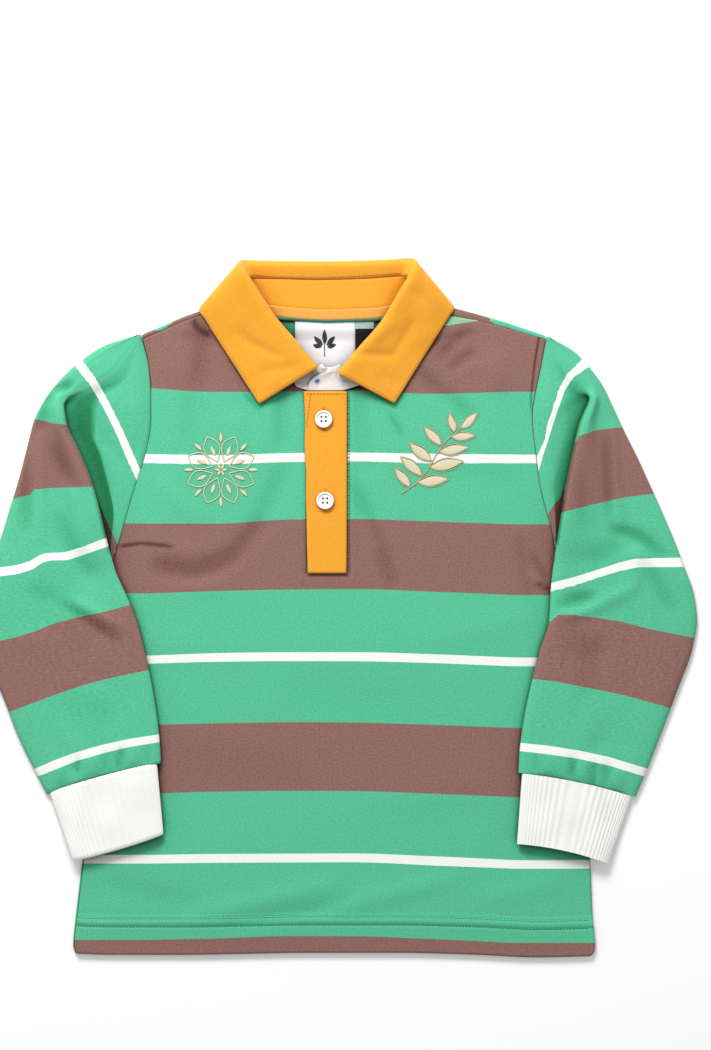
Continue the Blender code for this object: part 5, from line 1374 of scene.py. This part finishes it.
def row_of(path, pitch, length, height, radius, sink=0.1, wobble=0.0):
    """Rods for a row of stitches along a path of (x, y) points."""
    path = np.array(path, float)
    reach = np.concatenate([[0.0], np.cumsum(np.linalg.norm(np.diff(path, axis=0), axis=1))])
    rods = []
    for start in np.arange(0.2, reach[-1] - length * 0.6, pitch):
        x = np.interp((start, start + length / 2, start + length), reach, path[:, 0])
        y = np.interp((start, start + length / 2, start + length), reach, path[:, 1])
        x = x + rng.normal(0.0, wobble, 1)
        y = y + rng.normal(0.0, wobble, 1)
        z = [height(px, py) for px, py in zip(x, y)]
        if None in z or max(z) - min(z) > 1.0:
            continue
        rods.append((x[0], y[0], z[0] + radius * 0.4 - sink, x[2], y[2], z[2] + radius * 0.4 - sink, radius))
    return rods


# %% [markdown]
# ### Seams of the shirt
# The hem has two rows of stitches, and a seam runs round the placket, along the collar's
# edges and under its roll. Thread follows the cloth's colour, and orange cloth is sewn in
# a darker orange.

# %% Threads
green_thread = thread_finish("green_thread", srgb(112, 214, 170))
deep_thread = thread_finish("deep_green_thread", srgb(44, 128, 96))
dark_thread = thread_finish("dark_thread", srgb(84, 74, 66))
orange_thread = thread_finish("orange_thread", srgb(196, 116, 28))
light_orange_thread = thread_finish("light_orange_thread", srgb(238, 156, 44))

# %% Hem stitches
on_front = surface_of(front)
hem_x = np.arange(-180.0, 179.0, 4.0)
upper_row = [(x, float(hem_line(x)) + STITCH_LINES[1]) for x in hem_x]
lower_row = [(x, float(hem_line(x)) + STITCH_LINES[0]) for x in hem_x]
stitches("hem_stitches_upper", row_of(upper_row, 2.35, 1.5, on_front, 0.42, 0.0, 0.04), green_thread)
stitches("hem_stitches_lower", row_of(lower_row, 2.35, 1.6, on_front, 0.40, 0.15, 0.04), deep_thread)

# %% Placket seams
jersey_rods = row_of([(-20.9, 118.0), (-21.0, 100.0), (-21.3, 60.0), (-21.2, 23.0)], 2.2, 1.5, on_front,
                     0.28, 0.05)
jersey_rods += row_of([(-21.0, 22.4), (9.4, 22.4)], 2.2, 1.5, on_front, 0.28, 0.05)
for x in (8.2, 9.6):
    jersey_rods += row_of([(x, 23.0), (x, 85.0), (x - 0.1, 130.0), (x - 0.4, 149.0)], 2.2, 1.4, on_front,
                          0.24, 0.05)
for y in np.arange(30.0, 146.0, 4.4):
    z = on_front(8.9, y)
    jersey_rods.append((8.1, y, z + 0.05, 9.7, y + 0.3, z + 0.05, 0.2))
stitches("placket_box_stitches", jersey_rods, dark_thread)
on_band = surface_of(placket_band)
band_rods = row_of([(-20.8, 149.6), (6.4, 149.6)], 2.3, 1.6, on_band, 0.32, 0.05)
band_rods += row_of([(-17.6, 150.5), (-18.6, 142.0), (-20.2, 130.0), (-20.4, 126.0)], 2.3, 1.6, on_band,
                    0.32, 0.05)
for bx, by in BUTTONS:
    for end in (7.5, -7.2):
        z = on_band(bx, by + end)
        band_rods.append((bx - 0.1, by + end - 1.1, z + 0.1, bx + 0.1, by + end + 1.1, z + 0.1, 0.42))
stitches("placket_stitches", band_rods, orange_thread)

# %% Collar stitches
on_collar = surface_of(collar_leaf, collar_stand)


def leaf_place(row, share):
    """A point of the leaf: row along its length, share from its roll (0) to its fall edge (1)."""
    n = min(int(row), len(COLLAR) - 2)
    a, b = COLLAR[n], COLLAR[n + 1]
    fall = [mix(a[k], b[k], row - n) for k in (0, 1)]
    roll = [mix(a[k], b[k], row - n) for k in (2, 3)]
    return mix(roll[0], fall[0], share), mix(roll[1], fall[1], share)


last = len(COLLAR) - 1
leaf_rods = []
for rows in (np.linspace(0.16, 6.0, 30), last - np.linspace(0.16, 6.0, 30)):
    leaf_rods += row_of([leaf_place(row, 0.968) for row in rows], 2.1, 1.5, on_collar, 0.26, 0.08)
for row in (0.16, last - 0.16):
    leaf_rods += row_of([leaf_place(row, share) for share in np.linspace(0.06, 0.968, 24)], 2.1, 1.5,
                        on_collar, 0.26, 0.08)
stitches("collar_edge_stitches", leaf_rods, light_orange_thread)
ROLL_SEAM = [
    (-61.5, 233.4), (-44.0, 231.6), (-25.9, 230.6), (-14.0, 230.4), (11.2, 231.8), (30.0, 233.0),
    (48.0, 234.4),
]
stitches("roll_stitches", row_of(ROLL_SEAM, 2.4, 1.6, on_collar, 0.34, 0.05), orange_thread)

# %% Neck seam roll
# The seam below the tape is bound in jersey and shows as a roll. Its dark green is partly painted shade, for
# the shadow under the tape.
neck_rods = []
for row in range(*NECK_TAPE):
    a, b = stand_section(COLLAR[row])[-1], stand_section(COLLAR[row + 1])[-1]
    for n in range(5):
        p, q = [mix(a[k], b[k], n / 5) for k in (0, 1)], [mix(a[k], b[k], (n + 1.25) / 5) for k in (0, 1)]
        neck_rods.append((p[0], p[1] - 1.3, 4.3, q[0], q[1] - 1.3, 4.3, 1.35))
stitches("neck_seam_roll", neck_rods, thread_finish("shaded_green_jersey", srgb(52, 132, 106), 0.9))

# %% [markdown]
# ### The two chest motifs
# Each side of the chest has a plain plant design: a rosette in cream thread, and a branch
# in cream with a tan edge. Satin stitches cross each leaf from edge to edge, a little
# slanted, and stem stitches draw the outlines. The thread stands a little off the cloth.

# %% Motif helpers
cream_thread = thread_finish("cream_thread", srgb(226, 218, 184), 0.5)
tan_thread = thread_finish("tan_thread", srgb(196, 180, 138), 0.5)


def turned(points, angle, origin):
    """Points turned by an angle in degrees, then moved to an origin."""
    c, s = math.cos(math.radians(angle)), math.sin(math.radians(angle))
    return [(origin[0] + x * c - y * s, origin[1] + x * s + y * c) for x, y in points]


def petal(start, end, wide, bulge=0.9):
    """The outline of a pointed petal along +X, as a closed list of points."""
    shares = np.linspace(0.0, 1.0, 15)
    half = wide / 2 * np.sin(np.pi * shares ** bulge)
    upper = [(mix(start, end, t), h) for t, h in zip(shares, half)]
    return upper + [(x, -y) for x, y in upper[::-1][1:]]


def satin_rods(start, end, wide, angle, origin, height, bulge=0.9, pitch=0.52, radius=0.33, lift=0.25):
    rods = []
    for x in np.arange(start + pitch, end - pitch / 2, pitch):
        half = wide / 2 * math.sin(math.pi * ((x - start) / (end - start)) ** bulge)
        if half < 0.25:
            continue
        (x0, y0), (x1, y1) = turned([(x - 0.25 * half, -half), (x + 0.25 * half, half)], angle, origin)
        z0, z1 = height(x0, y0), height(x1, y1)
        if z0 is None or z1 is None:
            continue
        z = max(z0, z1) + lift
        rods.append((x0, y0, z, x1, y1, z, radius))
    return rods


def stem_rods(points, height, radius=0.34):
    return row_of(points, 1.25, 1.75, height, radius, -0.08)


# %% Left motif: a rosette
CENTRE = (-80.5, 96.5)
rosette, seeds = [], []
for n in range(8):
    angle = 22.5 + 45.0 * n
    rosette += stem_rods(turned(petal(6.0, 25.0, 11.5, 1.15), angle, CENTRE), on_front, 0.36)
    seeds += satin_rods(10.5, 18.5, 2.6, angle, CENTRE, on_front)
    seeds += satin_rods(19.0, 26.5, 2.4, angle + 22.5, CENTRE, on_front)
for n in range(6):
    seeds += satin_rods(0.6, 4.6, 2.0, 60.0 * n, CENTRE, on_front)
stitches("rosette_outline", rosette, cream_thread)
stitches("rosette_seeds", seeds, cream_thread)

# %% Right motif: a leafy branch
BRANCH = [(46.0, 80.0), (56.0, 87.0), (64.0, 96.0), (70.0, 107.0), (77.0, 117.0), (87.0, 125.0)]
LEAVES = [(52.0, 84.0, 128.0, 17.0, 6.2), (56.5, 87.5, 6.0, 22.0, 7.4), (60.5, 92.0, 138.0, 20.0, 7.0),
          (65.0, 98.0, 10.0, 24.0, 8.0), (67.0, 102.0, 140.0, 20.0, 7.2), (71.5, 109.0, 8.0, 21.0, 7.2),
          (74.0, 113.0, 132.0, 18.0, 6.4), (80.0, 119.5, 2.0, 17.0, 5.8), (83.0, 122.0, 104.0, 14.0, 5.2),
          (87.0, 125.0, 42.0, 16.0, 5.6)]
filled, edges = [], stem_rods(BRANCH, on_front, 0.4)
for x, y, angle, length, wide in LEAVES:
    filled += satin_rods(1.2, length, wide * 0.92, angle, (x, y), on_front)
    edges += stem_rods(turned(petal(0.6, length + 0.8, wide * 1.12), angle, (x, y)), on_front, 0.3)
stitches("branch_leaves", filled, cream_thread)
stitches("branch_outline", edges, tan_thread)
print("motif threads:", len(rosette) + len(seeds) + len(filled) + len(edges))

# %% A sprig on the neck label
# The label carries a small woven sprig in black, again of rods side by side.
black_thread = thread_finish("black_thread", srgb(38, 38, 42))
on_label = surface_of(neck_label)
sprig = []
for angle, length in ((90.0, 13.0), (48.0, 11.0), (132.0, 11.0), (14.0, 8.5), (166.0, 8.5)):
    sprig += satin_rods(2.0, length, 3.4, angle, (-8.0, 182.0), on_label, pitch=0.42, radius=0.25, lift=0.08)
sprig += row_of([(-8.0, 175.5), (-8.0, 184.0)], 0.9, 1.2, on_label, 0.3, 0.0)
stitches("label_sprig", sprig, black_thread)

# %% Mark on the facing
blue_thread = thread_finish("blue_thread", srgb(58, 104, 186))
on_facing = surface_of(facing)
mark_rods = satin_rods(-2.0, 2.0, 2.3, 20.0, (-13.1, 158.7), on_facing, 1.0, 0.42, 0.28, 0.1)
stitches("facing_mark", mark_rods, blue_thread)

# %% [markdown]
# ## The buttons
# A shirt button is turned on a lathe from a plastic disc: a raised rim, a dished middle
# and four holes. Here a cylinder is inset and pushed in by hand, its edges are bevelled,
# and four small cylinders are cut out of it.

# %% Making a button
BUTTON_RADIUS, BUTTON_HEIGHT, HOLE_RADIUS = 6.1, 2.3, 0.78
HOLES = ((-1.5, -1.5), (1.5, -1.5), (1.5, 1.5), (-1.5, 1.5))


def shirt_button(name, centre, base):
    middle = (centre[0] * MM, centre[1] * MM, (base + BUTTON_HEIGHT / 2) * MM)
    bpy.ops.object.select_all(action="DESELECT")
    bpy.ops.mesh.primitive_cylinder_add(vertices=48, radius=BUTTON_RADIUS * MM, depth=BUTTON_HEIGHT * MM,
                                        location=middle)
    made = bpy.context.object
    made.name = name
    bpy.ops.object.mode_set(mode="EDIT")
    bpy.ops.mesh.select_all(action="DESELECT")
    bpy.ops.object.mode_set(mode="OBJECT")
    for face in made.data.polygons:
        face.select = face.normal.z > 0.9
    bpy.ops.object.mode_set(mode="EDIT")
    bpy.ops.mesh.inset(thickness=1.15 * MM, depth=0.0)
    bpy.ops.mesh.inset(thickness=0.75 * MM, depth=-0.75 * MM)
    bpy.ops.mesh.inset(thickness=2.6 * MM, depth=0.12 * MM)
    bpy.ops.object.mode_set(mode="OBJECT")
    bevel = made.modifiers.new("edge", "BEVEL")
    bevel.width, bevel.segments, bevel.limit_method = 0.32 * MM, 3, "ANGLE"
    bevel.angle_limit = math.radians(35.0)
    bpy.ops.object.modifier_apply(modifier="edge")
    for dx, dy in HOLES:
        bpy.ops.object.select_all(action="DESELECT")
        spot = ((centre[0] + dx) * MM, (centre[1] + dy) * MM, base * MM)
        bpy.ops.mesh.primitive_cylinder_add(vertices=16, radius=HOLE_RADIUS * MM, depth=8.0 * MM,
                                            location=spot)
        drill = bpy.context.object
        bpy.context.view_layer.objects.active = made
        cut = made.modifiers.new("hole", "BOOLEAN")
        cut.object, cut.operation, cut.solver = drill, "DIFFERENCE", "EXACT"
        bpy.ops.object.modifier_apply(modifier="hole")
        bpy.data.objects.remove(drill, do_unlink=True)
    bpy.ops.object.select_all(action="DESELECT")
    made.select_set(True)
    bpy.context.view_layer.objects.active = made
    bpy.ops.object.transform_apply(location=True, rotation=True, scale=True)
    bpy.ops.object.shade_smooth_by_angle(angle=math.radians(40.0))
    made.data.materials.append(plastic)
    made.select_set(False)
    return made


plastic = thread_finish("button_plastic", srgb(250, 249, 245), 0.28)
brown_thread = thread_finish("button_thread", srgb(150, 92, 62))
button_pieces, knots = [], []
for name, (bx, by) in zip(("button_top", "button_bottom"), BUTTONS):
    base = max(on_band(bx + dx, by + dy) for dx in (-4, 0, 4) for dy in (-4, 0, 4)) + 0.15
    button_pieces.append(shirt_button(name + "_turned", (bx, by), base))
    for dx, dy in HOLES:
        knots.append((bx + dx, by + dy - 0.35, base + 0.6, bx + dx, by + dy + 0.35, base + 0.6, 0.55))
stitches("button_knots", knots, brown_thread)
print("buttons:", [len(piece.data.polygons) for piece in button_pieces])

# %% [markdown]
# ## The floor and the last calls
# The floor is plain and pale. Each piece is then hung on the root, and the solid that it stands for is
# hidden. Two tables list each piece's slot and each sheet's flat cut, but neither the slot nor the cut's size
# is used here.

# %% Floor
bpy.ops.object.select_all(action="DESELECT")
bpy.ops.mesh.primitive_plane_add(size=12.0, location=(0.0, 0.0, -0.0003))
floor = bpy.context.object
floor.name = "floor"
paper = bpy.data.materials.new("paper")
paper.use_nodes = True
paper_shader = paper.node_tree.nodes["Principled BSDF"]
paper_shader.inputs["Base Color"].default_value = (0.93, 0.93, 0.93, 1.0)
paper_shader.inputs["Roughness"].default_value = 0.9
paper_shader.inputs["Emission Color"].default_value = (1.0, 1.0, 1.0, 1.0)
paper_shader.inputs["Emission Strength"].default_value = 0.15
paper_shader.inputs["Specular IOR Level"].default_value = 0.1
floor.data.materials.append(paper)

# %% Riding and replacing
PIECES = [(front, "front_panel", "striped_jersey"), (back, "back_panel", "striped_jersey"),
          (sleeve_left, "sleeve_left", "striped_jersey"), (sleeve_right, "sleeve_right", "striped_jersey"),
          (cuff_left, "cuff_left", "white_rib"), (cuff_right, "cuff_right", "white_rib"),
          (collar_leaf, "collar_leaf", "orange_twill"), (collar_stand, "collar_stand", "orange_twill"),
          (neck_tape, "neck_tape", "neck_tape"), (placket_band, "placket_band", "orange_twill"),
          (placket_under, "placket_under", "orange_twill"), (facing, "placket_facing", "cream_facing"),
          (neck_label, "neck_label", "white_label"),
          (size_tag, "size_tag", "black_label"), (button_pieces[0], "button_top", "button_plastic"),
          (button_pieces[1], "button_bottom", "button_plastic")]
for piece, solid, slot in PIECES:
    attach(piece, "root")
    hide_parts(solid)

# %% Sheets of cloth
# Each row: the piece, its cut's width and length, its area, what it lies on, and what is sewn to it.
SHEETS = [
    (back, 0.363, 0.459, 0.1400, [], []),
    (front, 0.361, 0.455, 0.1350, ["back_panel_cloth"],
     ["hem_stitches_upper", "hem_stitches_lower", "placket_box_stitches", "rosette_outline", "rosette_seeds",
      "branch_leaves", "branch_outline"]),
    (sleeve_left, 0.210, 0.310, 0.0530, ["front_panel_cloth"], []),
    (sleeve_right, 0.200, 0.310, 0.0500, ["front_panel_cloth"], []),
    (cuff_left, 0.134, 0.050, 0.0066, ["front_panel_cloth"], []),
    (cuff_right, 0.134, 0.050, 0.0066, ["front_panel_cloth"], []),
    (collar_leaf, 0.330, 0.052, 0.0160, ["front_panel_cloth", "collar_stand_cloth"],
     ["collar_edge_stitches", "roll_stitches"]),
    (collar_stand, 0.280, 0.026, 0.0062, ["back_panel_cloth"], ["neck_seam_roll"]),
    (neck_tape, 0.104, 0.010, 0.0008, ["collar_stand_cloth"], []),
    (placket_under, 0.0212, 0.1187, 0.0025, ["back_panel_cloth"], []),
    (placket_band, 0.0295, 0.1267, 0.0037, ["placket_under_cloth"],
     ["placket_stitches", "button_knots", "button_top_turned", "button_bottom_turned"]),
    (facing, 0.047, 0.0180, 0.0006, ["back_panel_cloth"], ["facing_mark"]),
    (neck_label, 0.0418, 0.0412, 0.0017, ["back_panel_cloth"], ["label_sprig"]),
    (size_tag, 0.0127, 0.0212, 0.00026, ["back_panel_cloth"], []),
]
for piece, width, length, area, below, sewn in SHEETS:
    [bpy.data.objects[name] for name in sewn]
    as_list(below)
